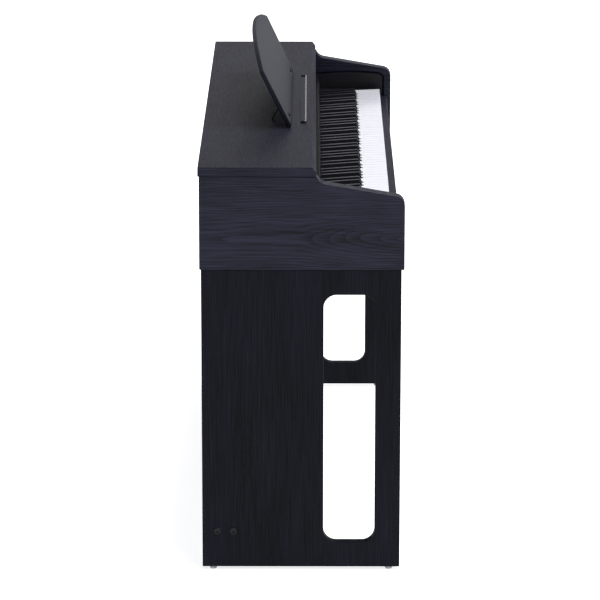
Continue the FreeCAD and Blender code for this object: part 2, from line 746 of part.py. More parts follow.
def all_key_centres():
    """Middle of every key's rear part, where its spring finger bears."""
    centres = []
    for number in range(lowest_note, highest_note + 1):
        octave, note = divmod(number, 12)
        if note in black_notes:
            centres.append(black_centre(octave, note))
        else:
            left = octave_left(octave) + white_notes.index(note) * white_pitch
            right = left + white_pitch
            if note - 1 in black_notes and number != lowest_note:
                left = black_centre(octave, note - 1) + black_width / 2
            if note + 1 in black_notes and number != highest_note:
                right = black_centre(octave, note + 1) - black_width / 2
            centres.append((left + right) / 2)
    return centres


def key_spring_comb():
    """One sheet of spring steel with a finger that bears under each key, near its pivot."""
    sheet_top = rear_rail_z + spring_sheet
    strip = block(-chassis_half, chassis_half, key_rear_y, key_rear_y + spring_strip_width,
                  rear_rail_z, sheet_top)
    tip_y = key_pivot_y - spring_tip_from_pivot
    tip_z = key_bottom_z - spring_tip_gap
    root_inset = 2.0
    root_y = key_rear_y + root_inset
    finger = [(root_y, rear_rail_z, 0), (root_y, sheet_top, 0), (tip_y, tip_z, 0),
              (tip_y, tip_z - spring_sheet, 0)]
    half = spring_finger_width / 2
    fingers = [side_profile(finger, x - half, x + half) for x in all_key_centres()]
    return strip.fuse(fingers)


def key_sensor_board():
    """The contact board on its shelf, with a rubber switch strip along the middle."""
    board_margin = 2.0
    strip_margin = 14.0
    travel_room = 5.5
    top = shelf_z + sensor_board_thickness
    shelf_rear = shelf_front_y + shelf_width
    board = block(-chassis_half, chassis_half, shelf_front_y + board_margin, shelf_rear - board_margin,
                  shelf_z, top)
    strip = block(-chassis_half, chassis_half, shelf_front_y + strip_margin, shelf_rear - strip_margin,
                  top, key_bottom_z - travel_room)
    return board.fuse(strip)


# ---------------------------------------------------------------- electronics
def speaker_frame(side):
    """Pressed basket with its magnet, flange down on the key bed."""
    x = side * speaker_x
    flange = rod_z(speaker_flange_radius, bed_top_z, bed_top_z + speaker_wall, x, speaker_y)
    basket_share = 0.6
    basket_top = bed_top_z + speaker_depth * basket_share
    inner_bottom = speaker_hole_radius
    inner_top = speaker_magnet_radius - speaker_wall
    axis = V(0, 0, 1)
    base = V(x, speaker_y, bed_top_z)
    height = basket_top - bed_top_z
    outer = Part.makeCone(inner_bottom + speaker_wall, inner_top + speaker_wall, height, base, axis)
    inner = Part.makeCone(inner_bottom, inner_top, height, base, axis)
    magnet = rod_z(speaker_magnet_radius, basket_top, bed_top_z + speaker_depth, x, speaker_y)
    return flange.fuse([outer, magnet]).cut(inner)


def speaker_cone(side):
    """The paper cone with its dust cap, inside the basket."""
    x = side * speaker_x
    paper = 1.2
    gap = 2.0
    lift = 1.0
    throat = 16.0
    cone_share = 0.45
    depth = speaker_depth * cone_share
    mouth = speaker_hole_radius - gap
    base = V(x, speaker_y, bed_top_z + lift)
    axis = V(0, 0, 1)
    outer = Part.makeCone(mouth, throat, depth, base, axis)
    inner = Part.makeCone(mouth - paper, throat - paper, depth, base, axis)
    cap = rod_z(throat - paper, base.z + depth - paper, base.z + depth, x, speaker_y)
    return outer.cut(inner).fuse(cap)


def speaker_grille(side):
    return rod_z(speaker_hole_radius + grille_rim, body_bottom_z - grille_thickness, body_bottom_z,
                 side * speaker_x, speaker_y)


def main_board():
    """The circuit board behind the keys, with its stand-offs, heat sink and connector."""
    x0, x1 = main_board_x
    y0, y1 = chassis_rear_y + main_board_front_gap, bed_rear_y - main_board_rear_gap
    low = bed_top_z + main_board_standoff
    top = low + sensor_board_thickness
    corner = main_board_corner
    pieces = [rod_z(standoff_radius, bed_top_z, low, x, y)
              for x in (x0 + corner, x1 - corner) for y in (y0 + corner, y1 - corner)]
    for (left, right), front_gap, depth, height in (processor_block, heat_sink_block, connector_block):
        pieces.append(block(left, right, y0 + front_gap, y0 + front_gap + depth, top, top + height))
    return block(x0, x1, y0, y1, low, top).fuse(pieces)


def headphone_jack_box():
    """A small box under the front of the key bed with two sockets that face the player."""
    width, depth, height = jack_box_size
    front = jack_box_front_y
    box = block(jack_box_x - width / 2, jack_box_x + width / 2, front, front + depth,
                body_bottom_z - height, body_bottom_z)
    for side in (-1, 1):
        x = jack_box_x + side * jack_pitch / 2
        box = box.cut(rod_y(jack_radius, front, front + jack_depth, x, body_bottom_z - height / 2))
    return box


def socket_barrel(shift, radius, extra=0.0):
    """The round body of a socket, which passes through its hole in the rear panel."""
    return rod_y(radius + socket_wall + extra, rear_panel_rear_y - barrel_depth, rear_panel_rear_y,
                 socket_plate_x + shift, socket_plate_z)


def socket_barrels(extra=0.0):
    return [socket_barrel(inlet_shift, inlet_radius, extra),
            socket_barrel(pedal_socket_shift, pedal_socket_radius, extra)]


def rear_socket_plate():
    """Plate on the rear panel with the power inlet and the pedal cable's socket."""
    width, height = socket_plate_size
    rear = rear_panel_rear_y
    outside = rear + socket_plate_thickness
    plate = block(socket_plate_x - width / 2, socket_plate_x + width / 2, rear, outside,
                  socket_plate_z - height / 2, socket_plate_z + height / 2)
    plate = plate.fuse(socket_barrels())
    for shift, radius in ((inlet_shift, inlet_radius), (pedal_socket_shift, pedal_socket_radius)):
        plate = plate.cut(rod_y(radius, outside - socket_depth, outside, socket_plate_x + shift,
                                socket_plate_z))
    return plate


# ---------------------------------------------------------------- music rest
def rest_place(shape):
    """Lean a shape that was drawn upright about the rest's pivot."""
    shape.rotate(V(0, rest_pivot_y, rest_pivot_z), V(1, 0, 0), -rest_lean_deg)
    return shape


def rest_y(offset):
    return rest_pivot_y + offset


def rest_z(height):
    return rest_pivot_z + height


def rest_blank():
    """The panel's outline, upright: straight sides, a round lower edge and an arched top."""
    half = rest_thickness / 2
    foot = rest_pivot_up
    corner_z = rest_z(rest_corner_height - foot)
    crown_z = rest_z(rest_crown_height - foot)
    bottom_z = rest_z(0)
    front = rest_y(-half)
    corner = rest_corner_half
    bottom = rest_bottom_half
    edges = [Part.makeLine(V(-bottom, front, bottom_z), V(bottom, front, bottom_z)),
             Part.makeLine(V(bottom, front, bottom_z), V(corner, front, corner_z)),
             Part.Arc(V(corner, front, corner_z), V(0, front, crown_z),
                      V(-corner, front, corner_z)).toShape(),
             Part.makeLine(V(-corner, front, corner_z), V(-bottom, front, bottom_z))]
    panel = Part.Face(Part.Wire(edges)).extrude(V(0, rest_thickness, 0))
    return panel.fuse(rod_x(half, -bottom, bottom, rest_pivot_y, rest_pivot_z))


def music_rest():
    rest = rest_blank()
    half = rest_thickness / 2
    notch_height = math.hypot(max(bracket_front, bracket_rear), rest_pivot_z - top_z) + rest_notch_room
    for side in (-1, 1):
        x = side * rest_notch_x
        rest = rest.cut(block(x - rest_notch_width / 2, x + rest_notch_width / 2, rest_y(-half - 1),
                              rest_y(half + 1), rest_z(-half - 1), rest_z(notch_height)))
        rest = rest.cut(rod_x(rest_pin_radius + bore_clearance, x - rest_pin_length / 2 - 0.5,
                              x + rest_pin_length / 2 + 0.5, rest_pivot_y, rest_pivot_z))
        x = side * stay_x
        pocket_half = stay_width / 2 + stay_pocket_gap
        pocket_low = stay_pivot_height - 1.6 * stay_thickness
        pocket_high = stay_pivot_height + stay_length + stay_thickness
        rest = rest.cut(block(x - pocket_half, x + pocket_half, rest_y(half - stay_pocket_depth),
                              rest_y(half + 1), rest_z(pocket_low), rest_z(pocket_high)))
        rest = rest.cut(rod_x(stay_pin_radius + bore_clearance, x - pocket_half - stay_pin_reach,
                              x + pocket_half + stay_pin_reach, rest_y(stay_axis_offset),
                              rest_z(stay_pivot_height)))
    return rest_place(rest)


def rest_bracket(side):
    """A lug on the top board that holds the rest's hinge pin."""
    x = side * rest_notch_x
    half = rest_notch_width / 2 - bracket_gap
    base = block(x - half, x + half, rest_pivot_y - bracket_front, rest_pivot_y + bracket_rear,
                 top_z, top_z + bracket_base)
    ear = block(x - half, x + half, rest_pivot_y - bracket_ear_radius, rest_pivot_y + bracket_ear_radius,
                top_z, rest_pivot_z)
    ear = ear.fuse(rod_x(bracket_ear_radius, x - half, x + half, rest_pivot_y, rest_pivot_z))
    return base.fuse(ear).cut(rod_x(rest_pin_radius, x - half, x + half, rest_pivot_y, rest_pivot_z))


def rest_pin(side):
    x = side * rest_notch_x
    return rod_x(rest_pin_radius, x - rest_pin_length / 2, x + rest_pin_length / 2,
                 rest_pivot_y, rest_pivot_z)


def rest_stay(side):
    """A flat strut that folds out of the panel's back and stands on the top board."""
    y = stay_pivot_y
    z = stay_pivot_z
    x = side * stay_x
    half_width = stay_width / 2
    half = stay_thickness / 2
    bar = block(x - half_width, x + half_width, y - half, y + half, z - stay_length, z)
    bar = bar.fuse([rod_x(half, x - half_width, x + half_width, y, z - stay_length),
                    rod_x(half, x - half_width, x + half_width, y, z)])
    reach = half_width + stay_pocket_gap + stay_pin_reach - 0.5
    bar = bar.fuse(rod_x(stay_pin_radius, x - reach, x + reach, y, z))
    bar.rotate(V(0, y, z), V(1, 0, 0), stay_lean_deg)
    return bar


def page_ledge():
    """A low moulded ledge that stops the pages, with its lip along the front and both ends."""
    def plan(inset):
        radius = ledge_corner_radius - inset
        x = ledge_half_length - inset
        return [(-x, ledge_rear_y, 0), (-x, ledge_front_y + inset, radius),
                (x, ledge_front_y + inset, radius), (x, ledge_rear_y, 0)]
    body = plan_profile(plan(0), top_z, top_z + ledge_lip_height)
    tray = plan_profile(plan(ledge_lip_width), top_z + ledge_floor, top_z + ledge_lip_height)
    return body.cut(tray)


# ---------------------------------------------------------------- stand
def leg_panel(side):
    """One end of the stand: a deep panel with a tall rounded opening near its front."""
    x0 = side * leg_inner
    x1 = side * leg_outer
    panel = block(x0, x1, -leg_half_depth, leg_half_depth, foot_height, body_bottom_z)
    front = window_from_front - leg_half_depth
    rear = front + window_width
    top = body_bottom_z - window_to_top
    window = [(front, window_bottom_z, window_radius), (rear, window_bottom_z, window_radius),
              (rear, top, window_radius), (front, top, window_radius)]
    panel = panel.cut(side_profile(window, x0, x1))
    cuts = stand_dowels(side, bore_clearance)
    cuts += [stand_bolt(side, y, bore_clearance) for y in bolt_y]
    cuts += [foot_stem(side, y, bore_clearance) for y in foot_y]
    return panel.cut(Part.makeCompound(cuts))


def stand_dowels(side, extra):
    """Upright dowels that locate an arm on its leg panel."""
    middle = body_bottom_z
    half = dowel_length / 2 + extra
    return [rod_z(dowel_radius + extra, middle - half, middle + half, side * leg_centre_x, y)
            for y in dowel_y]


def stand_bolt(side, y, extra=0.0):
    """A capped bolt through a leg panel into the end of the pedal box."""
    head_out = leg_outer + bolt_head_proud
    head_in = head_out - bolt_head_height
    head = rod_x(bolt_head_radius + extra, side * head_in, side * head_out, y, bolt_z)
    if extra == 0.0:
        outer_edges = [edge for edge in head.Edges
                       if len(edge.Vertexes) == 1 and abs(abs(edge.Vertexes[0].X) - head_out) < 0.01]
        head = head.makeFillet(bolt_head_round, outer_edges)
    tip = leg_outer - bolt_length
    return head.fuse(rod_x(bolt_shank_radius + extra, side * (tip - extra), side * head_in, y, bolt_z))


def foot_stem(side, y, extra):
    return rod_z(foot_stem_radius + extra, foot_height, foot_height + foot_stem_length + extra,
                 side * leg_centre_x, y)


def leg_foot(side, y):
    """A glide with a screw stem; its lower rim is eased."""
    ease = 1.2
    x = side * leg_centre_x
    pad = Part.makeCone(foot_radius - ease, foot_radius, ease, V(x, y, 0), V(0, 0, 1))
    pad = pad.fuse(rod_z(foot_radius, ease, foot_height, x, y))
    return pad.fuse(foot_stem(side, y, 0.0))


def stand_back_board():
    rear = leg_half_depth - back_board_inset
    return block(-leg_inner, leg_inner, rear - back_board_thickness, rear,
                 back_board_bottom_z, body_bottom_z - back_board_to_top)


def pedal_box():
    """The cross rail between the leg panels, hollow below, with solid ends and three slots."""
    box = block(-leg_inner, leg_inner, pedal_box_front_y, pedal_box_rear_y,
                pedal_box_bottom_z, pedal_box_top_z)
    inner_x = leg_inner - pedal_box_end_block
    box = box.cut(block(-inner_x, inner_x, pedal_box_front_y + pedal_box_wall,
                        pedal_box_rear_y - pedal_box_wall, pedal_box_bottom_z,
                        pedal_box_top_z - pedal_box_wall))
    half = pedal_width / 2 + pedal_slot_clearance
    slot_drop = (pedal_axis_y - pedal_box_front_y) * math.sin(math.radians(pedal_press_deg))
    slot_low = pedal_axis_z - pedal_thickness / 2 - slot_drop - pedal_slot_clearance
    slot_high = pedal_axis_z + pedal_thickness / 2 + pedal_slot_clearance
    for x in pedal_xs:
        box = box.cut(block(x - half, x + half, pedal_box_front_y, pedal_box_front_y + pedal_box_wall,
                            slot_low, slot_high))
    bolts = [stand_bolt(side, y, bore_clearance) for side in (-1, 1) for y in bolt_y]
    return box.cut(Part.makeCompound(bolts))


def pedal_base():
    """Steel floor of the pedal box, with two bearing walls for the axle and the adjuster's nut."""
    gap = 0.3
    bearing_half = 11.0
    boss_wall = 4.0
    boss_height = 9.0
    front = pedal_box_front_y + pedal_box_wall + gap
    rear = pedal_box_rear_y - pedal_box_wall - gap
    inner_x = leg_inner - pedal_box_end_block - gap
    low = pedal_box_bottom_z
    base = block(-inner_x, inner_x, front, rear, low, low + pedal_base_thickness)
    wall_top = pedal_axis_z + pedal_hub_radius + boss_wall
    for side in (-1, 1):
        base = base.fuse(block(side * pedal_bearing_x, side * (pedal_bearing_x + pedal_base_thickness),
                               pedal_axis_y - bearing_half, pedal_axis_y + bearing_half, low, wall_top))
    nut_top = low + boss_height
    base = base.fuse(rod_z(adjuster_stem_radius + boss_wall, low, nut_top, adjuster_x, adjuster_y))
    reach = pedal_bearing_x + pedal_base_thickness
    base = base.cut(rod_x(pedal_axle_radius, -reach, reach, pedal_axis_y, pedal_axis_z))
    return base.cut(rod_z(adjuster_stem_radius + bore_clearance, low, nut_top, adjuster_x, adjuster_y))


def pedal_axle():
    proud = 2.0
    reach = pedal_bearing_x + pedal_base_thickness + proud
    return rod_x(pedal_axle_radius, -reach, reach, pedal_axis_y, pedal_axis_z)


def pedal(x):
    """A cast pedal: a rounded paddle that narrows to an arm, and a hub on the axle."""
    half = pedal_width / 2
    tip = pedal_tip_width / 2
    low = pedal_axis_z - pedal_thickness / 2
    nose = tip * pedal_nose_share
    neck_y = pedal_tip_y + pedal_neck
    wide_y = pedal_tip_y + pedal_widest
    points = [(x - half, pedal_axis_y, 0), (x - half, neck_y, pedal_neck_round),
              (x - tip, wide_y, pedal_tip_round), (x - nose, pedal_tip_y, pedal_nose_round),
              (x + nose, pedal_tip_y, pedal_nose_round), (x + tip, wide_y, pedal_tip_round),
              (x + half, neck_y, pedal_neck_round), (x + half, pedal_axis_y, 0)]
    lever = plan_profile(points, low, low + pedal_thickness)
    hub = rod_x(pedal_hub_radius, x - half, x + half, pedal_axis_y, pedal_axis_z)
    return lever.fuse(hub).cut(rod_x(pedal_axle_radius + bore_clearance, x - half, x + half,
                                     pedal_axis_y, pedal_axis_z))


def pedal_spring(x):
    """A torsion spring on the axle beside a pedal, with its rear leg down to the base."""
    wire = 1.2
    coil_gap = 0.4
    side_gap = 1.0
    coil_width = 9.0
    coil_inner = pedal_axle_radius + coil_gap
    coil_outer = coil_inner + 2 * wire
    start = x + pedal_width / 2 + side_gap
    end = start + coil_width
    coil = rod_x(coil_outer, start, end, pedal_axis_y, pedal_axis_z)
    coil = coil.cut(rod_x(coil_inner, start, end, pedal_axis_y, pedal_axis_z))
    leg_y = pedal_axis_y + coil_outer - wire
    leg = rod_z(wire, pedal_box_bottom_z + pedal_base_thickness, pedal_axis_z, end - wire, leg_y)
    return coil.fuse(leg)


def adjuster_foot():
    """A screw foot under the pedal box that takes the pedals' load."""
    ease = 1.5
    disc_height = 7.0
    thread_above = 14.0
    disc = Part.makeCone(adjuster_disc_radius - ease, adjuster_disc_radius, ease,
                         V(adjuster_x, adjuster_y, 0), V(0, 0, 1))
    disc = disc.fuse(rod_z(adjuster_disc_radius, ease, disc_height, adjuster_x, adjuster_y))
    return disc.fuse(rod_z(adjuster_stem_radius, disc_height, pedal_box_bottom_z + thread_above,
                           adjuster_x, adjuster_y))


# ---------------------------------------------------------------- write every sub-part
def save_body():
    save("top_board", top_board())
    save("left_arm", side_arm(-1))
    save("right_arm", side_arm(1))
    save("key_bed", key_bed())
    save("key_slip", key_slip())
    save("rear_panel", rear_panel())
    save("front_rail", front_rail())
    save("left_cheek_block", left_cheek_block())
    save("right_cheek_block", cheek_block(1))
    save("key_cover", key_cover())
    save("key_cover_handle", key_cover_handle())
    save_group("rear_screws", [rear_screw(x) for x in rear_screw_places()])


def save_controls_and_electronics():
    save("power_button", push_button(power_button_back, power_button_radius))
    save("sound_button", push_button(sound_button_back, small_button_radius))
    save("metronome_button", push_button(metronome_button_back, small_button_radius))
    save("volume_slider", volume_slider())
    save("main_board", main_board())
    save("headphone_jack_box", headphone_jack_box())
    save("rear_socket_plate", rear_socket_plate())
    save_group("speaker_frames", [speaker_frame(side) for side in (-1, 1)])
    save_group("speaker_cones", [speaker_cone(side) for side in (-1, 1)])
    save_group("speaker_grilles", [speaker_grille(side) for side in (-1, 1)])


def save_action():
    save("key_chassis", key_chassis())
    save("key_pivot_rod", key_pivot_rod())
    save("key_spring_comb", key_spring_comb())
    save("key_sensor_board", key_sensor_board())


def save_music_rest():
    save("music_rest", music_rest())
    save_group("rest_hinge_brackets", [rest_bracket(side) for side in (-1, 1)])
    save_group("rest_hinge_pins", [rest_pin(side) for side in (-1, 1)])
    save_group("rest_stays", [rest_stay(side) for side in (-1, 1)])
    save("page_ledge", page_ledge())


def save_stand():
    save("left_leg_panel", leg_panel(-1))
    save("right_leg_panel", leg_panel(1))
    save("stand_back_board", stand_back_board())
    save("pedal_box", pedal_box())
    save("pedal_base", pedal_base())
    save("pedal_axle", pedal_axle())
    for name, x in zip(("left_pedal", "middle_pedal", "right_pedal"), pedal_xs):
        save(name, pedal(x))
    save_group("pedal_springs", [pedal_spring(x) for x in pedal_xs])
    save("adjuster_foot", adjuster_foot())
    save_group("leg_feet", [leg_foot(side, y) for side in (-1, 1) for y in foot_y])
    bolts = [stand_bolt(side, y) for side in (-1, 1) for y in bolt_y]
    dowels = stand_dowels(-1, 0.0) + stand_dowels(1, 0.0)
    save_group("stand_bolts", bolts + dowels)


os.makedirs("parts", exist_ok=True)
save_body()
save_controls_and_electronics()
save_action()
save_keys()
save_music_rest()
save_stand()
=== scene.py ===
import json
import math

import bmesh
import bpy
from mathutils import Matrix, Vector


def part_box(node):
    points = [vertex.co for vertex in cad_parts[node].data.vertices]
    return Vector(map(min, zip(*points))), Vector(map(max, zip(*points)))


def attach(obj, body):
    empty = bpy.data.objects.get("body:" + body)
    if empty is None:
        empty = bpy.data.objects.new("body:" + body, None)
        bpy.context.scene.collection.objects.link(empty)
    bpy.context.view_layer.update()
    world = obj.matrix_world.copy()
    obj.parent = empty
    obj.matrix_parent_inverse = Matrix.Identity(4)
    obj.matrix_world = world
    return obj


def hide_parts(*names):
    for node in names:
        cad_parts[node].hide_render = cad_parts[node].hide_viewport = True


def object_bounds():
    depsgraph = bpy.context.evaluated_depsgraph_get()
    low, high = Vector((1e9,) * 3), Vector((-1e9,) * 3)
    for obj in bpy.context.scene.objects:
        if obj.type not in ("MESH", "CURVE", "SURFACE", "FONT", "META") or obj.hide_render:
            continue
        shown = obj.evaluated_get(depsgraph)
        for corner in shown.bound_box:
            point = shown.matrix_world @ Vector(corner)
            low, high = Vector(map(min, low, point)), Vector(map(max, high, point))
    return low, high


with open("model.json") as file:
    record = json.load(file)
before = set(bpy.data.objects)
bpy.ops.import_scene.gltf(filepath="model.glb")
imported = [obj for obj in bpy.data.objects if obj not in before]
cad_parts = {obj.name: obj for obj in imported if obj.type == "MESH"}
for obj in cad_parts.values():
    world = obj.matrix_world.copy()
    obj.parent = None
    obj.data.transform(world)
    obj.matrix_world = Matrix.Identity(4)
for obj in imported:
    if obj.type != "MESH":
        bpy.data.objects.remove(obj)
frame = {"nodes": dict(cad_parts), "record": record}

cad_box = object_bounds()

bl_info = {
    "name": "Console Piano Finish",
    "version": (1, 0, 0),
    "blender": (4, 5, 0),
    "location": "3D View > Sidebar > Piano",
    "description": "Finishes a console digital piano: edged foil panels, keys, music rest, pedals and stage",
    "category": "Object",
}

MM = 0.001
WAVE_PERIOD = math.tau / 20      # a wave texture of scale 1 repeats this often, in metres
BODY_OF = {node: body for body, members in frame["record"]["behaviour"]["bodies"].items() for node in members}
SLOT_OF = {part["node"]: part["material_slot"] for part in frame["record"]["subparts"]}
LOW, HIGH = cad_box
BOARD_LOW, BOARD_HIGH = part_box("top_board")
ARM_LOW, ARM_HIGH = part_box("left_arm")
LEG_LOW, LEG_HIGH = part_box("left_leg_panel")


# ---------------------------------------------------------------- settings
class PianoColours(bpy.types.PropertyGroup):
    """Colours of the finishes, as sRGB hex."""
    board_dark: bpy.props.StringProperty(name="Board pores", description="Dark tone of the lid foil", default="#17171E")
    board_light: bpy.props.StringProperty(name="Board field", description="Light tone of the lid foil", default="#242433")
    arm_dark: bpy.props.StringProperty(name="Arm pores", description="Dark tone of the arm foil", default="#06070B")
    arm_light: bpy.props.StringProperty(name="Arm field", description="Light tone of the arm foil", default="#2C2D3E")
    leg_dark: bpy.props.StringProperty(name="Leg pores", description="Dark tone of the leg foil", default="#06070B")
    leg_light: bpy.props.StringProperty(name="Leg field", description="Light tone of the leg foil", default="#171823")
    rest: bpy.props.StringProperty(name="Music rest", description="Moulded rest panel", default="#24242F")
    moulding: bpy.props.StringProperty(name="Mouldings", description="Black moulded parts", default="#1D1D21")
    white_key: bpy.props.StringProperty(name="White keys", description="White key tops", default="#E4E4EC")
    black_key: bpy.props.StringProperty(name="Black keys", description="Black key tops", default="#16161D")
    floor: bpy.props.StringProperty(name="Floor", description="Studio floor", default="#F7F7F7")


class PianoSizes(bpy.types.PropertyGroup):
    """Rounding and grain sizes."""
    panel_edge: bpy.props.FloatProperty(name="Panel edge", description="Rounding of the edge banding",
                                        default=0.0011, subtype="DISTANCE", unit="LENGTH")
    key_edge: bpy.props.FloatProperty(name="Key edge", description="Rounding of the key arrises",
                                      default=0.0009, subtype="DISTANCE", unit="LENGTH")
    rest_edge: bpy.props.FloatProperty(name="Rest edge", description="Rounding of the music rest's rim",
                                       default=0.0022, subtype="DISTANCE", unit="LENGTH")
    pedal_edge: bpy.props.FloatProperty(name="Pedal edge", description="Rounding of the cast pedals",
                                        default=0.0022, subtype="DISTANCE", unit="LENGTH")
    ring_width: bpy.props.FloatProperty(name="Growth ring", description="Spacing of the figure's growth rings",
                                        default=0.0052, subtype="DISTANCE", unit="LENGTH")
    pore_length: bpy.props.FloatProperty(name="Pore length", description="Length of an embossed pore",
                                         default=0.085, subtype="DISTANCE", unit="LENGTH")
    pore_width: bpy.props.FloatProperty(name="Pore width", description="Width of an embossed pore",
                                        default=0.0018, subtype="DISTANCE", unit="LENGTH")


class PianoStage(bpy.types.PropertyGroup):
    """Camera and lights."""
    camera_distance: bpy.props.FloatProperty(name="Camera distance", description="Along X from the middle",
                                             default=7.4204, subtype="DISTANCE", unit="LENGTH")
    camera_side: bpy.props.FloatProperty(name="Camera side", description="Camera's place along Y",
                                         default=-0.0179, subtype="DISTANCE", unit="LENGTH")
    camera_height: bpy.props.FloatProperty(name="Camera height", description="Above the floor",
                                           default=2.3293, subtype="DISTANCE", unit="LENGTH")
    camera_pitch: bpy.props.FloatProperty(name="Camera pitch", description="Downwards",
                                          default=0.2564, subtype="ANGLE", unit="ROTATION")
    camera_yaw: bpy.props.FloatProperty(name="Camera yaw", description="Towards the back",
                                        default=0.0030, subtype="ANGLE", unit="ROTATION")
    camera_roll: bpy.props.FloatProperty(name="Camera roll", description="About its axis",
                                         default=0.0007, subtype="ANGLE", unit="ROTATION")
    lens: bpy.props.FloatProperty(name="Lens", description="Focal length in millimetres", default=212.1)
    sky: bpy.props.FloatProperty(name="Room light", description="Strength of the room's light", default=0.16)
    key_light: bpy.props.FloatProperty(name="Key light", description="Strength of the overhead light",
                                       default=2.8)
    key_softness: bpy.props.FloatProperty(name="Key softness", description="Angle that the light spans",
                                          default=0.9, subtype="ANGLE", unit="ROTATION")
    front_light: bpy.props.FloatProperty(name="Front light", description="Softbox on the player's side",
                                         default=60.0, unit="POWER")
    far_light: bpy.props.FloatProperty(name="Far light", description="Softbox past the treble end",
                                       default=28.0, unit="POWER")
    floor_glow: bpy.props.FloatProperty(name="Floor glow", description="Light from below the floor",
                                        default=0.84)


# ---------------------------------------------------------------- helpers
def linear(colour):
    """Linear RGBA of an sRGB hex colour."""
    parts = [int(colour[i:i + 2], 16) / 255 for i in (1, 3, 5)]
    return [p / 12.92 if p <= 0.04045 else ((p + 0.055) / 1.055) ** 2.4 for p in parts] + [1.0]


def add(tree, kind, sockets=None, **settings):
    """Add a node; settings are its properties, sockets its inputs: a value, or an output to link."""
    made = tree.nodes.new(kind)
    for name, value in settings.items():
        setattr(made, name, value)
    for name, value in (sockets or {}).items():
        if isinstance(value, bpy.types.NodeSocket):
            tree.links.new(value, made.inputs[name])
        else:
            made.inputs[name].default_value = value
    return made


def surface(name, colour, roughness, metallic=0.0, specular=0.5, ior=1.5):
    """A new material with its Principled node."""
    material = bpy.data.materials.new(name)
    material.use_nodes = True
    tree = material.node_tree
    tree.nodes.clear()
    principled = add(tree, "ShaderNodeBsdfPrincipled",
                     {"Base Color": linear(colour), "Roughness": roughness, "Metallic": metallic,
                      "Specular IOR Level": specular, "IOR": ior})
    output = add(tree, "ShaderNodeOutputMaterial")
    tree.links.new(principled.outputs["BSDF"], output.inputs["Surface"])
    return material, tree, principled


def shade(colour, share):
    """A hex colour darkened to a share of its values."""
    return "#" + "".join(f"{round(int(colour[i:i + 2], 16) * share):02X}" for i in (1, 3, 5))


def stretched(tree, along, sizes, centre=(0, 0, 0)):
    """Object coordinates divided by a size each way; along is the axes' order, grain direction first."""
    place = add(tree, "ShaderNodeTexCoord").outputs["Object"]
    moved = add(tree, "ShaderNodeVectorMath", {0: place, 1: centre}, operation="SUBTRACT")
    parts = add(tree, "ShaderNodeSeparateXYZ", {"Vector": moved.outputs[0]})
    ordered = add(tree, "ShaderNodeCombineXYZ",
                  {axis: parts.outputs[source] for axis, source in zip("XYZ", along)})
    scale = [1 / size for size in sizes]
    return add(tree, "ShaderNodeVectorMath", {0: ordered.outputs[0], 1: scale}, operation="MULTIPLY").outputs[0]


def noise(tree, vector, detail=2.0, roughness=0.5, distortion=0.0):
    return add(tree, "ShaderNodeTexNoise", {"Vector": vector, "Scale": 1.0, "Detail": detail,
                                            "Roughness": roughness, "Distortion": distortion}).outputs["Fac"]


def spread(tree, value, low, high, to_low=0.0, to_high=1.0):
    """Stretch a value's range to another, clamped."""
    return add(tree, "ShaderNodeMapRange", {"Value": value, "From Min": low, "From Max": high,
                                            "To Min": to_low, "To Max": to_high}).outputs["Result"]


def blend(tree, factor, first, second):
    """Mix two colours by a factor; each is an sRGB hex or an output."""
    mix = add(tree, "ShaderNodeMix", data_type="RGBA")
    tree.links.new(factor, mix.inputs["Factor"])
    for socket, value in ((6, first), (7, second)):
        if isinstance(value, str):
            mix.inputs[socket].default_value = linear(value)
        else:
            tree.links.new(value, mix.inputs[socket])
    return mix.outputs[2]


def combine(tree, operation, first, second):
    return add(tree, "ShaderNodeMath", {0: first, 1: second}, operation=operation).outputs[0]


def bump(tree, principled, height, depth, strength=1.0):
    """Drive the shader's normal with a height pattern, depth in metres."""
    relief = add(tree, "ShaderNodeBump", {"Height": height, "Distance": depth, "Strength": strength})
    tree.links.new(relief.outputs["Normal"], principled.inputs["Normal"])


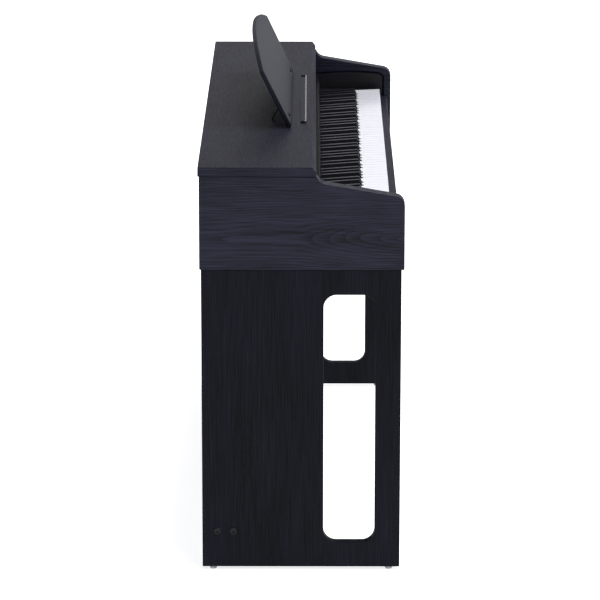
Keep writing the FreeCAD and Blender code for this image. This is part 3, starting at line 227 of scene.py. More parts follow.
# ---------------------------------------------------------------- materials
def wood_foil(name, along, dark, light, sizes, centre, figure, roughness, relief, specular):
    """Embossed wood-grain foil on board: a printed flat-sawn figure under a satin lacquer, with pores
    pressed into it that catch the light as fine broken lines along the grain."""
    material, tree, principled = surface(name, light, roughness, specular=specular)
    # slow waves of the trunk, longer along the grain than across it
    trunk = noise(tree, stretched(tree, along, (0.3, 0.09, 0.09), centre), detail=3.0)
    sway = spread(tree, trunk, 0.3, 0.7, -0.005, 0.005)
    place = add(tree, "ShaderNodeSeparateXYZ", {"Vector": stretched(tree, along, (1, 1, 1), centre)})
    across = combine(tree, "ADD", place.outputs["Y"], sway)
    # the saw cut runs at a small slope through the rings, which draws the cathedral arches
    depth = spread(tree, place.outputs["X"], -0.17, 0.03, 0.004, 0.036)
    depth = combine(tree, "ADD", depth, combine(tree, "MULTIPLY", sway, 0.7))
    rings = add(tree, "ShaderNodeCombineXYZ", {"X": 0.0, "Y": across, "Z": depth})
    wave = add(tree, "ShaderNodeTexWave", {"Vector": rings.outputs[0], "Scale": WAVE_PERIOD / sizes.ring_width,
                                           "Distortion": 0.9, "Detail": 2.0, "Detail Scale": 0.8},
               wave_type="RINGS", rings_direction="X", wave_profile="SAW")
    # pores: drawn a few times wider than the real 0.3 mm, so that they show
    pore_sizes = (sizes.pore_length, sizes.pore_width, sizes.pore_width)
    pores = noise(tree, stretched(tree, along, pore_sizes, centre), detail=3.0, roughness=0.6)
    fine_sizes = [size * 0.35 for size in pore_sizes]
    fine = noise(tree, stretched(tree, along, fine_sizes, centre), detail=2.0)
    patches = noise(tree, stretched(tree, along, (0.28, 0.05, 0.05), centre), detail=2.0)
    streaks = spread(tree, pores, 0.4, 0.62)
    tone = combine(tree, "MULTIPLY", spread(tree, wave.outputs["Fac"], 0.0, 1.0, 0.15, 1.0), figure)
    tone = combine(tree, "ADD", tone, combine(tree, "MULTIPLY", streaks, (1 - figure) * 0.75))
    tone = combine(tree, "ADD", tone, spread(tree, patches, 0.3, 0.7, -0.14, 0.22))
    tree.links.new(blend(tree, tone, dark, light), principled.inputs["Base Color"])
    sheen = spread(tree, fine, 0.3, 0.7, roughness - 0.05, roughness + 0.08)
    tree.links.new(sheen, principled.inputs["Roughness"])
    height = combine(tree, "ADD", combine(tree, "MULTIPLY", streaks, 0.6), combine(tree, "MULTIPLY", fine, 0.4))
    bump(tree, principled, height, relief)
    return material


def moulded(name, colour, roughness, grain=0.0009, depth=0.00005, specular=0.35):
    """Moulded ABS: a fine spark-eroded texture from the tool breaks up the highlight a little, and the
    colour is through the body, so it hardly varies."""
    material, tree, principled = surface(name, colour, roughness, specular=specular)
    texture = noise(tree, stretched(tree, "XYZ", (grain, grain, grain)), detail=2.0)
    cloud = noise(tree, stretched(tree, "XYZ", (0.06, 0.06, 0.06)), detail=2.0)
    tree.links.new(blend(tree, spread(tree, cloud, 0.3, 0.7), shade(colour, 0.88), colour),
                   principled.inputs["Base Color"])
    tree.links.new(spread(tree, texture, 0.3, 0.7, roughness - 0.04, roughness + 0.06),
                   principled.inputs["Roughness"])
    bump(tree, principled, texture, depth)
    return material


def metal(name, colour, roughness, along="XYZ", scratch=(0.03, 0.0006, 0.0006), depth=0.00002):
    """Plated or drawn metal: fine lines from the die or the polishing wheel stretch the highlight."""
    material, tree, principled = surface(name, colour, roughness, metallic=1.0)
    lines = noise(tree, stretched(tree, along, scratch), detail=3.0)
    tarnish = noise(tree, stretched(tree, "XYZ", (0.03, 0.03, 0.03)), detail=2.0)
    tree.links.new(blend(tree, spread(tree, tarnish, 0.3, 0.7), shade(colour, 0.85), colour),
                   principled.inputs["Base Color"])
    tree.links.new(spread(tree, lines, 0.3, 0.7, roughness - 0.04, roughness + 0.07),
                   principled.inputs["Roughness"])
    bump(tree, principled, lines, depth)
    return material


def key_top_white(colour):
    """Polished acrylic-faced ABS: smooth and bright, with a clear highlight and the faintest warmth
    where the moulding flowed."""
    material, tree, principled = surface("polished_white_abs", colour, 0.2)
    flow = noise(tree, stretched(tree, "YXZ", (0.12, 0.012, 0.02)), detail=2.0)
    tree.links.new(blend(tree, spread(tree, flow, 0.3, 0.7), shade(colour, 0.98), colour),
                   principled.inputs["Base Color"])
    wear = noise(tree, stretched(tree, "YXZ", (0.01, 0.01, 0.01)), detail=3.0)
    tree.links.new(spread(tree, wear, 0.3, 0.7, 0.16, 0.26), principled.inputs["Roughness"])
    bump(tree, principled, wear, 0.00001)
    return material


def key_top_black(colour):
    """Matt-moulded black phenolic with an imitation ebony grain: a broad soft sheen, streaked along the
    key."""
    material, tree, principled = surface("grained_black_phenolic", colour, 0.4, specular=0.18)
    grain = noise(tree, stretched(tree, "YXZ", (0.03, 0.0007, 0.0007)), detail=3.0)
    tree.links.new(blend(tree, spread(tree, grain, 0.3, 0.7), shade(colour, 0.7), colour),
                   principled.inputs["Base Color"])
    tree.links.new(spread(tree, grain, 0.3, 0.7, 0.34, 0.48), principled.inputs["Roughness"])
    bump(tree, principled, grain, 0.00004)
    return material


def speaker_paper():
    """Pressed paper pulp: dull, fibrous and slightly uneven."""
    material, tree, principled = surface("pressed_paper_pulp", "#26262A", 0.85)
    fibre = noise(tree, stretched(tree, "XYZ", (0.0016, 0.0016, 0.0016)), detail=4.0, distortion=1.5)
    tree.links.new(blend(tree, spread(tree, fibre, 0.3, 0.7), "#1B1B1E", "#303035"),
                   principled.inputs["Base Color"])
    bump(tree, principled, fibre, 0.0001)
    return material


def solder_mask():
    """Green solder mask over copper: glossy lacquer with tracks that show as slightly paler lanes."""
    material, tree, principled = surface("green_solder_mask", "#12502E", 0.3)
    lanes = add(tree, "ShaderNodeTexBrick",
                {"Vector": stretched(tree, "XYZ", (0.02, 0.02, 0.02)), "Scale": 1.0, "Mortar Size": 0.06,
                 "Color1": linear("#12502E"), "Color2": linear("#0F4628"), "Mortar": linear("#1F7040")})
    tree.links.new(lanes.outputs["Color"], principled.inputs["Base Color"])
    bump(tree, principled, lanes.outputs["Fac"], 0.00004)
    return material


def perforated_sheet_paint():
    """Powder-coated steel sheet: a fine orange-peel skin, matt black."""
    return moulded("powder_coated_sheet", "#1A1A1C", 0.6, grain=0.0014, depth=0.00006)


def make_materials(colours, sizes):
    """Every material, keyed mostly by its slot name."""
    board_centre = (0.3, 0.35, (BOARD_LOW.z + BOARD_HIGH.z) / 2)
    arm_centre = (0.0, -0.03, ARM_LOW.z + 0.063)
    leg_centre = (0.0, 0.11, 0.3)
    rest = moulded("satin_moulded_rest_abs", colours.rest, 0.5, grain=0.0012, specular=0.055)
    black = moulded("matt_moulded_abs", colours.moulding, 0.45, specular=0.15)
    return {
        "body_foil": wood_foil("satin_ash_foil", "XYZ", colours.board_dark, colours.board_light, sizes,
                               board_centre, 0.22, 0.52, 0.00010, 0.07),
        "arm_foil": wood_foil("satin_ash_foil_arms", "YZX", colours.arm_dark, colours.arm_light, sizes,
                              arm_centre, 0.44, 0.47, 0.00012, 0.12),
        "panel_foil": wood_foil("plain_ash_foil", "XYZ", colours.leg_dark, colours.leg_light, sizes,
                                board_centre, 0.3, 0.52, 0.00008, 0.12),
        "leg_foil": wood_foil("matt_ash_foil_legs", "ZYX", colours.leg_dark, colours.leg_light, sizes,
                              leg_centre, 0.22, 0.56, 0.00008, 0.08),
        "cheek_plastic": black,
        "cover_plastic": moulded("extruded_cover_abs", "#141419", 0.42, specular=0.06),
        "rest_panel": rest,
        # the ledge's lip: real gloss, plus a colour lighter than the rest panel that paints in the bright highlight
        # along its edge
        "ledge_plastic": moulded("gloss_moulded_abs", "#30303A", 0.24, specular=0.26),
        "hinge_metal": moulded("black_oxide_steel", "#1A1A1F", 0.42, grain=0.0005, specular=0.15),
        "steel": metal("zinc_plated_steel", "#A9ABAE", 0.34),
        "screw_black": moulded("black_zinc_screws", "#101013", 0.4, grain=0.0006, specular=0.2),
        "pedal_metal": metal("nickel_plated_pedals", "#D8D4CB", 0.14, along="YXZ"),
        "glide": moulded("grey_nylon_glide", "#B9BBC0", 0.4),
        "button_plastic": moulded("satin_button_abs", "#28282C", 0.32),
        "circuit_board": solder_mask(),
        "chassis_plastic": moulded("glass_filled_nylon", "#2B2B2D", 0.6, grain=0.0015, depth=0.0001),
        "speaker_steel": moulded("black_painted_steel", "#202022", 0.45),
        "speaker_paper": speaker_paper(),
        "grille_cloth": perforated_sheet_paint(),
        "white_key_plastic": key_top_white(colours.white_key),
        "black_key_plastic": key_top_black(colours.black_key),
    }


# ---------------------------------------------------------------- pieces
def publish(piece, nodes, body=None):
    """Hang a finished piece on its body and let it stand for its nodes."""
    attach(piece, body or BODY_OF[nodes[0]])
    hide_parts(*nodes)
    return piece


def link(name, mesh):
    piece = bpy.data.objects.new(name, mesh)
    bpy.context.scene.collection.objects.link(piece)
    return piece


def settled(piece):
    """The piece with its modifiers made part of its mesh."""
    bpy.context.view_layer.update()
    graph = bpy.context.evaluated_depsgraph_get()
    mesh = bpy.data.meshes.new_from_object(piece.evaluated_get(graph))
    piece.modifiers.clear()
    piece.data = mesh
    return piece


def edged(node, material, width, segments=2, end_material=None, suffix="_edged", angle=32):
    """A copy of a node whose sharp arrises are rounded; end_material goes on faces that look along X."""
    mesh = frame["nodes"][node].data.copy()
    mesh.materials.clear()
    mesh.materials.append(material)
    work = bmesh.new()
    work.from_mesh(mesh)
    bmesh.ops.remove_doubles(work, verts=work.verts, dist=2e-6)
    bmesh.ops.dissolve_limit(work, angle_limit=math.radians(0.5), verts=work.verts, edges=work.edges)
    # a large face with many corners is cut up while it is still flat, before its rim is rounded
    bmesh.ops.triangulate(work, faces=[face for face in work.faces if len(face.verts) > 4])
    for face in work.faces:
        face.material_index = 0
        face.smooth = True
    if end_material:
        mesh.materials.append(end_material)
        for face in work.faces:
            face.material_index = 1 if abs(face.normal.x) > 0.9 else 0
    work.to_mesh(mesh)
    work.free()
    if mesh.has_custom_normals:
        piece_attribute = mesh.attributes.get("custom_normal")
        if piece_attribute:
            mesh.attributes.remove(piece_attribute)
    piece = link(node + suffix, mesh)
    rounding = piece.modifiers.new("Rounding", "BEVEL")
    rounding.width = width
    rounding.segments = segments
    rounding.limit_method = "ANGLE"
    rounding.angle_limit = math.radians(angle)
    rounding.use_clamp_overlap = False
    rounding.loop_slide = False
    rounding.harden_normals = False
    weights = piece.modifiers.new("Flat faces", "WEIGHTED_NORMAL")
    weights.keep_sharp = True
    settled(piece)
    return publish(piece, [node])


def turned(name, profile, material, lobes=None, segments=24):
    """A mesh turned about Z from (radius, height) points; lobes gives a sided recess to some points."""
    work = bmesh.new()
    rings = []
    for index, (radius, height) in enumerate(profile):
        ring = []
        for step in range(segments):
            angle = math.tau * step / segments
            reach = radius
            if lobes and index in lobes:
                sector = math.tau / lobes[index]
                offset = (angle + sector / 2) % sector - sector / 2
                reach = radius * math.cos(sector / 2) / math.cos(offset)
            ring.append(work.verts.new((reach * math.cos(angle), reach * math.sin(angle), height)))
        rings.append(ring)
    for low, high in zip(rings, rings[1:]):
        for step in range(segments):
            after = (step + 1) % segments
            work.faces.new((low[step], low[after], high[after], high[step]))
    work.faces.new(list(reversed(rings[0])))
    work.faces.new(rings[-1])
    bmesh.ops.recalc_face_normals(work, faces=work.faces)
    mesh = bpy.data.meshes.new(name)
    work.to_mesh(mesh)
    work.free()
    mesh.materials.append(material)
    mesh.polygons.foreach_set("use_smooth", [True] * len(mesh.polygons))
    mesh.set_sharp_from_angle(angle=math.radians(35))
    return mesh


# ---------------------------------------------------------------- repeated pieces
def node_group(name, inputs):
    """A geometry node group with named inputs, given as (name, socket kind, default)."""
    tree = bpy.data.node_groups.new(name, "GeometryNodeTree")
    tree.interface.new_socket("Geometry", in_out="INPUT", socket_type="NodeSocketGeometry")
    for label, kind, value in inputs:
        socket = tree.interface.new_socket(label, in_out="INPUT", socket_type=kind)
        if value is not None:
            socket.default_value = value
    tree.interface.new_socket("Geometry", in_out="OUTPUT", socket_type="NodeSocketGeometry")
    return tree, add(tree, "NodeGroupInput").outputs, add(tree, "NodeGroupOutput")


def close_group(tree, given, leave, geometry):
    """End a group: realize its instances and give them their material."""
    real = add(tree, "GeometryNodeRealizeInstances", {"Geometry": geometry})
    add_material = add(tree, "GeometryNodeSetMaterial",
                       {"Geometry": real.outputs[0], "Material": given["Material"]})
    tree.links.new(add_material.outputs[0], leave.inputs["Geometry"])
    return tree


def copies_group():
    """A copy of one object at each point, turned alike."""
    tree, given, leave = node_group("copies_on_points", [
        ("Copy", "NodeSocketObject", None), ("Turn", "NodeSocketVector", (0, 0, 0)),
        ("Material", "NodeSocketMaterial", None)])
    source = add(tree, "GeometryNodeObjectInfo", {"Object": given["Copy"]})
    copies = add(tree, "GeometryNodeInstanceOnPoints",
                 {"Points": given["Geometry"], "Instance": source.outputs["Geometry"],
                  "Rotation": given["Turn"]})
    return close_group(tree, given, leave, copies.outputs[0])


def coil_group():
    """A torsion spring's coil along X at each point."""
    tree, given, leave = node_group("coil_on_points", [
        ("Coil Radius", "NodeSocketFloat", 0.0045), ("Wire Radius", "NodeSocketFloat", 0.0012),
        ("Turns", "NodeSocketFloat", 3.5), ("Length", "NodeSocketFloat", 0.0065),
        ("Material", "NodeSocketMaterial", None)])
    spiral = add(tree, "GeometryNodeCurveSpiral",
                 {"Resolution": 20, "Rotations": given["Turns"], "Start Radius": given["Coil Radius"],
                  "End Radius": given["Coil Radius"], "Height": given["Length"]})
    wire = add(tree, "GeometryNodeCurvePrimitiveCircle", {"Resolution": 8, "Radius": given["Wire Radius"]})
    coil = add(tree, "GeometryNodeCurveToMesh",
               {"Curve": spiral.outputs[0], "Profile Curve": wire.outputs[0], "Fill Caps": True})
    smooth = add(tree, "GeometryNodeSetShadeSmooth", {"Geometry": coil.outputs[0], "Shade Smooth": True})
    copies = add(tree, "GeometryNodeInstanceOnPoints",
                 {"Points": given["Geometry"], "Instance": smooth.outputs[0],
                  "Rotation": (0, math.pi / 2, 0)})
    return close_group(tree, given, leave, copies.outputs[0])


def perforated_group():
    """Perforated sheet: drilled cells set in rows, each row half a pitch along, inside a circle."""
    tree, given, leave = node_group("perforated_disc", [
        ("Cell", "NodeSocketObject", None), ("Pitch", "NodeSocketFloat", 0.005),
        ("Radius", "NodeSocketFloat", 0.05), ("Material", "NodeSocketMaterial", None)])
    row_gap = combine(tree, "MULTIPLY", given["Pitch"], math.sqrt(3))
    across = combine(tree, "MULTIPLY", given["Radius"], 2.0)
    columns = combine(tree, "CEIL", combine(tree, "DIVIDE", across, given["Pitch"]), 0.0)
    rows = combine(tree, "CEIL", combine(tree, "DIVIDE", across, row_gap), 0.0)
    grid = add(tree, "GeometryNodeMeshGrid",
               {"Size X": combine(tree, "MULTIPLY", columns, given["Pitch"]),
                "Size Y": combine(tree, "MULTIPLY", rows, row_gap),
                "Vertices X": combine(tree, "ADD", columns, 1.0), "Vertices Y": combine(tree, "ADD", rows, 1.0)})
    shift = add(tree, "ShaderNodeCombineXYZ", {"X": combine(tree, "MULTIPLY", given["Pitch"], 0.5),
                                               "Y": combine(tree, "MULTIPLY", row_gap, 0.5)})
    between = add(tree, "GeometryNodeTransform", {"Geometry": grid.outputs[0], "Translation": shift.outputs[0]})
    both = add(tree, "GeometryNodeJoinGeometry")
    tree.links.new(grid.outputs[0], both.inputs[0])
    tree.links.new(between.outputs[0], both.inputs[0])
    from_middle = add(tree, "ShaderNodeVectorMath",
                      {0: add(tree, "GeometryNodeInputPosition").outputs[0]}, operation="LENGTH")
    outside = add(tree, "FunctionNodeCompare", {0: from_middle.outputs["Value"], 1: given["Radius"]},
                  operation="GREATER_THAN")
    inside = add(tree, "GeometryNodeDeleteGeometry",
                 {"Geometry": both.outputs[0], "Selection": outside.outputs[0]})
    cell = add(tree, "GeometryNodeObjectInfo", {"Object": given["Cell"]})
    copies = add(tree, "GeometryNodeInstanceOnPoints",
                 {"Points": inside.outputs[0], "Instance": cell.outputs["Geometry"]})
    real = add(tree, "GeometryNodeRealizeInstances", {"Geometry": copies.outputs[0]})
    merged = add(tree, "GeometryNodeMergeByDistance", {"Geometry": real.outputs[0], "Distance": 0.00001})
    at_points = add(tree, "GeometryNodeInstanceOnPoints",
                    {"Points": given["Geometry"], "Instance": merged.outputs[0]})
    return close_group(tree, given, leave, at_points.outputs[0])


def ribs_group():
    """Thin round ribs side by side along Y, centred on each point."""
    tree, given, leave = node_group("ribs_on_points", [
        ("Count", "NodeSocketInt", 5), ("Spacing", "NodeSocketFloat", 0.0009),
        ("Rib Radius", "NodeSocketFloat", 0.0003), ("Rib Length", "NodeSocketFloat", 0.0095),
        ("Material", "NodeSocketMaterial", None)])
    last = combine(tree, "SUBTRACT", given["Count"], 1.0)
    start = combine(tree, "MULTIPLY", combine(tree, "MULTIPLY", last, given["Spacing"]), -0.5)
    line = add(tree, "GeometryNodeMeshLine",
               {"Count": given["Count"],
                "Start Location": add(tree, "ShaderNodeCombineXYZ", {"Y": start}).outputs[0],
                "Offset": add(tree, "ShaderNodeCombineXYZ", {"Y": given["Spacing"]}).outputs[0]})
    rib = add(tree, "GeometryNodeMeshCylinder",
              {"Vertices": 10, "Radius": given["Rib Radius"], "Depth": given["Rib Length"]})
    row = add(tree, "GeometryNodeInstanceOnPoints",
              {"Points": line.outputs[0], "Instance": rib.outputs[0], "Rotation": (0, math.pi / 2, 0)})
    copies = add(tree, "GeometryNodeInstanceOnPoints",
                 {"Points": given["Geometry"], "Instance": row.outputs[0]})
    return close_group(tree, given, leave, copies.outputs[0])


def board_parts_group():
    """Small components scattered over a circuit board's face, none on top of another."""
    tree, given, leave = node_group("components_on_board", [
        ("Spacing", "NodeSocketFloat", 0.013), ("Part Size", "NodeSocketVector", (0.007, 0.0045, 0.003)),
        ("Seed", "NodeSocketInt", 4), ("Material", "NodeSocketMaterial", None)])
    points = add(tree, "GeometryNodeDistributePointsOnFaces",
                 {"Mesh": given["Geometry"], "Distance Min": given["Spacing"], "Density Max": 9000.0,
                  "Seed": given["Seed"]}, distribute_method="POISSON")
    size = add(tree, "FunctionNodeRandomValue", {0: (0.45, 0.45, 0.4), 1: (1.0, 1.0, 1.0), "Seed": given["Seed"]},
               data_type="FLOAT_VECTOR")
    part = add(tree, "GeometryNodeMeshCube", {"Size": given["Part Size"]})
    copies = add(tree, "GeometryNodeInstanceOnPoints",
                 {"Points": points.outputs[0], "Instance": part.outputs[0], "Scale": size.outputs[0]})
    return close_group(tree, given, leave, copies.outputs[0])


def grown(name, group, points, values, faces=()):
    """The mesh that a group makes from some points; values are given by input name."""
    mesh = bpy.data.meshes.new(name)
    mesh.from_pydata([tuple(p) for p in points], [], list(faces))
    piece = link(name, mesh)
    modifier = piece.modifiers.new("Repeat", "NODES")
    modifier.node_group = group
    for socket in group.interface.items_tree:
        if socket.item_type == "SOCKET" and socket.in_out == "INPUT" and socket.name in values:
            modifier[socket.identifier] = values[socket.name]
    return settled(piece)


def template(name, mesh):
    """An object that only lends its mesh to a node group."""
    lender = link(name, mesh)
    lender.hide_render = True
    return lender


def joined(name, pieces):
    """Several finished pieces as one."""
    work = bmesh.new()
    materials = []
    for piece in pieces:
        for material in piece.data.materials:
            if material not in materials:
                materials.append(material)
    mesh = bpy.data.meshes.new(name)
    for piece in pieces:
        start = len(work.faces)
        work.from_mesh(piece.data)
        work.faces.ensure_lookup_table()
        for face in work.faces[start:]:
            face.material_index = materials.index(piece.data.materials[face.material_index])
    work.to_mesh(mesh)
    work.free()
    for material in materials:
        mesh.materials.append(material)
    for piece in pieces:
        bpy.data.objects.remove(piece)
    mesh.set_sharp_from_angle(angle=math.radians(35))
    return link(name, mesh)


def node_islands(node):
    """Lowest and highest corners of each separate solid of a node."""
    work = bmesh.new()
    work.from_mesh(frame["nodes"][node].data)
    bmesh.ops.remove_doubles(work, verts=work.verts, dist=2e-6)
    boxes, seen = [], set()
    for first in work.verts:
        if first in seen:
            continue
        stack, members = [first], []
        seen.add(first)
        while stack:
            vertex = stack.pop()
            members.append(vertex.co)
            for edge in vertex.link_edges:
                other = edge.other_vert(vertex)
                if other not in seen:
                    seen.add(other)
                    stack.append(other)
        boxes.append((Vector([min(p[i] for p in members) for i in range(3)]),
                      Vector([max(p[i] for p in members) for i in range(3)])))
    work.free()
    return boxes


def middle(low, high):
    return (low + high) / 2


def paint(node, material):
    """Give a node that keeps its own mesh its finish."""
    slots = frame["nodes"][node].data.materials
    slots.clear()
    slots.append(material)


class PianoOperator:
    """What every step shares: its settings and materials."""
    bl_options = {"REGISTER", "UNDO"}

    @property
    def sizes(self):
        return bpy.context.scene.piano_sizes

    def finish(self, slot):
        return FINISHES[slot]


FINISHES = {}


class PIANO_OT_finishes(PianoOperator, bpy.types.Operator):
    """Make every material"""
    bl_idname = "piano.finishes"
    bl_label = "Make the finishes"

    def execute(self, context):
        FINISHES.update(make_materials(context.scene.piano_colours, self.sizes))
        return {"FINISHED"}


class PIANO_OT_panels(PianoOperator, bpy.types.Operator):
    """Edge the foil-covered panels of the body and the stand"""
    bl_idname = "piano.panels"
    bl_label = "Edge the panels"

    def execute(self, context):
        arm = self.finish("arm_foil")
        leg = self.finish("leg_foil")
        plain = self.finish("panel_foil")
        edge = self.sizes.panel_edge
        edged("top_board", self.finish("body_foil"), edge, end_material=arm)
        for side in ("left", "right"):
            edged(side + "_arm", arm, edge * 1.6, segments=3)
            edged(side + "_leg_panel", leg, edge)
        edged("key_slip", self.finish("body_foil"), edge)
        edged("front_rail", plain, edge)
        for node in ("key_bed", "rear_panel", "stand_back_board", "pedal_box"):
            edged(node, plain, edge * 0.7)
        return {"FINISHED"}


class PIANO_OT_keys(PianoOperator, bpy.types.Operator):
    """Round the arrises of every key"""
    bl_idname = "piano.keys"
    bl_label = "Finish the keys"

    def execute(self, context):
        edge = self.sizes.key_edge
        for node in [n for n in frame["nodes"] if SLOT_OF[n] == "white_key_plastic"]:
            edged(node, self.finish("white_key_plastic"), edge, segments=3, suffix="_polished")
        for node in [n for n in frame["nodes"] if SLOT_OF[n] == "black_key_plastic"]:
            edged(node, self.finish("black_key_plastic"), edge * 1.3, segments=3, suffix="_polished")
        return {"FINISHED"}


class PIANO_OT_cover(PianoOperator, bpy.types.Operator):
    """Finish the sliding key cover and its grip"""
    bl_idname = "piano.cover"
    bl_label = "Finish the key cover"

    def execute(self, context):
        edged("key_cover", self.finish("cover_plastic"), 0.5 * MM, suffix="_extruded")
        edged("key_cover_handle", self.finish("cover_plastic"), 1.6 * MM, segments=4, suffix="_extruded")
        return {"FINISHED"}


class PIANO_OT_rest(PianoOperator, bpy.types.Operator):
    """Finish the music rest, its stays and hinges, and the page ledge"""
    bl_idname = "piano.rest"
    bl_label = "Finish the music rest"

    def execute(self, context):
        edged("music_rest", self.finish("rest_panel"), self.sizes.rest_edge, segments=4, suffix="_moulded",
              angle=50)
        edged("rest_stays", self.finish("hinge_metal"), 0.5 * MM, suffix="_pressed")
        edged("rest_hinge_brackets", self.finish("hinge_metal"), 0.5 * MM, suffix="_pressed")
        paint("rest_hinge_pins", self.finish("hinge_metal"))
        ledge = edged("page_ledge", self.finish("ledge_plastic"), 0.7 * MM, segments=3, suffix="_moulded")
        ledge.data.materials.append(self.finish("rest_panel"))
        # the front 4 mm, the lip, keeps the lighter gloss finish with its painted highlight; the faces behind take the
        # rest panel's finish
        lip_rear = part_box("page_ledge")[0].y + 4 * MM
        for face in ledge.data.polygons:
            if face.center.y > lip_rear:
                face.material_index = 1
        return {"FINISHED"}


class PIANO_OT_controls(PianoOperator, bpy.types.Operator):
    """Finish the cheek blocks, the buttons, the volume slider and the sockets"""
    bl_idname = "piano.controls"
    bl_label = "Finish the controls"

    def execute(self, context):
        for node in ("left_cheek_block", "right_cheek_block", "headphone_jack_box", "rear_socket_plate"):
            edged(node, self.finish("cheek_plastic"), 0.8 * MM, suffix="_moulded")
        for node in ("power_button", "sound_button", "metronome_button"):
            paint(node, self.finish("button_plastic"))
        edged("volume_slider", self.finish("button_plastic"), 0.5 * MM, suffix="_moulded")
        self.ribs()
        self.socket_rings()
        return {"FINISHED"}

    def ribs(self):
        """Finger ribs across the top of the slider's cap."""
        low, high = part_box("volume_slider")
        top = Vector((middle(low, high).x, middle(low, high).y, high.z - 0.1 * MM))
        rib_length = (high.x - low.x) - 1.5 * MM
        ribs = grown("volume_slider_ribs", ribs_group(), [top],
                     {"Count": 4, "Spacing": 1.0 * MM, "Rib Radius": 0.25 * MM, "Rib Length": rib_length,
                      "Material": self.finish("button_plastic")})
        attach(ribs, "volume_slider")

    def socket_rings(self):
        """Plated rings round the two headphone sockets."""
        mounts = [m for m in frame["record"]["mounts"] if m["name"].startswith("headphone_socket")]
        profile = [(3.3 * MM, 0.0), (5.0 * MM, 0.0), (5.0 * MM, 0.5 * MM), (4.3 * MM, 0.9 * MM),
                   (3.6 * MM, 0.9 * MM), (3.3 * MM, 0.5 * MM)]
        ring = template("socket_ring_template", washer("socket_ring_template", profile, self.finish("steel")))
        low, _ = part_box("headphone_jack_box")
        points = [(m["pos_m"][0], low.y, m["pos_m"][2]) for m in mounts]
        rings = grown("headphone_socket_rings", copies_group(), points,
                      {"Copy": ring, "Turn": (math.pi / 2, 0, 0), "Material": self.finish("steel")})
        bpy.data.objects.remove(ring)
        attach(rings, "cabinet_and_stand")


def washer(name, profile, material, segments=28):
    """A closed ring turned about Z from (radius, height) points."""
    work = bmesh.new()
    rings = []
    for step in range(segments):
        angle = math.tau * step / segments
        rings.append([work.verts.new((r * math.cos(angle), r * math.sin(angle), h)) for r, h in profile])
    for step, ring in enumerate(rings):
        after = rings[(step + 1) % segments]
        for index in range(len(profile)):
            following = (index + 1) % len(profile)
            work.faces.new((ring[index], after[index], after[following], ring[following]))
    bmesh.ops.recalc_face_normals(work, faces=work.faces)
    mesh = bpy.data.meshes.new(name)
    work.to_mesh(mesh)
    work.free()
    mesh.materials.append(material)
    mesh.polygons.foreach_set("use_smooth", [True] * len(mesh.polygons))
    mesh.set_sharp_from_angle(angle=math.radians(35))
    return mesh


class PIANO_OT_pedals(PianoOperator, bpy.types.Operator):
    """Round the cast pedals and wind their springs"""
    bl_idname = "piano.pedals"
    bl_label = "Finish the pedals"

    def execute(self, context):
        for side in ("left", "middle", "right"):
            edged(side + "_pedal", self.finish("pedal_metal"), self.sizes.pedal_edge, segments=4,
                  suffix="_cast")
        for node in ("pedal_axle", "pedal_base"):
            paint(node, self.finish("steel"))
        edged("adjuster_foot", self.finish("steel"), 0.5 * MM, suffix="_turned")
        self.springs()
        return {"FINISHED"}

    def springs(self):
        """Each spring is a coil on the axle with one leg down to the base."""
        boxes = node_islands("pedal_springs")
        axle_low, axle_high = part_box("pedal_axle")
        axis = middle(axle_low, axle_high)
        wire = 1.1 * MM
        coil_low, coil_high = boxes[0]
        coil_radius = (coil_high.y - axis.y) - wire
        points = [(low.x + wire, axis.y, axis.z) for low, high in boxes]
        coils = grown("pedal_spring_coils", coil_group(), points,
                      {"Coil Radius": coil_radius, "Wire Radius": wire, "Turns": 3.25,
                       "Length": coil_high.x - coil_low.x - 2 * wire, "Material": self.finish("steel")})
        leg_length = axis.z - coil_low.z
        leg = template("spring_leg_template",
                       turned("spring_leg_template", [(wire, 0.0), (wire, leg_length)], self.finish("steel"),
                              segments=10))
        feet = [(high.x - wire, axis.y + coil_radius, low.z) for low, high in boxes]
        legs = grown("pedal_spring_legs", copies_group(), feet,
                     {"Copy": leg, "Material": self.finish("steel")})
        bpy.data.objects.remove(leg)
        publish(joined("pedal_springs_wound", [coils, legs]), ["pedal_springs"])


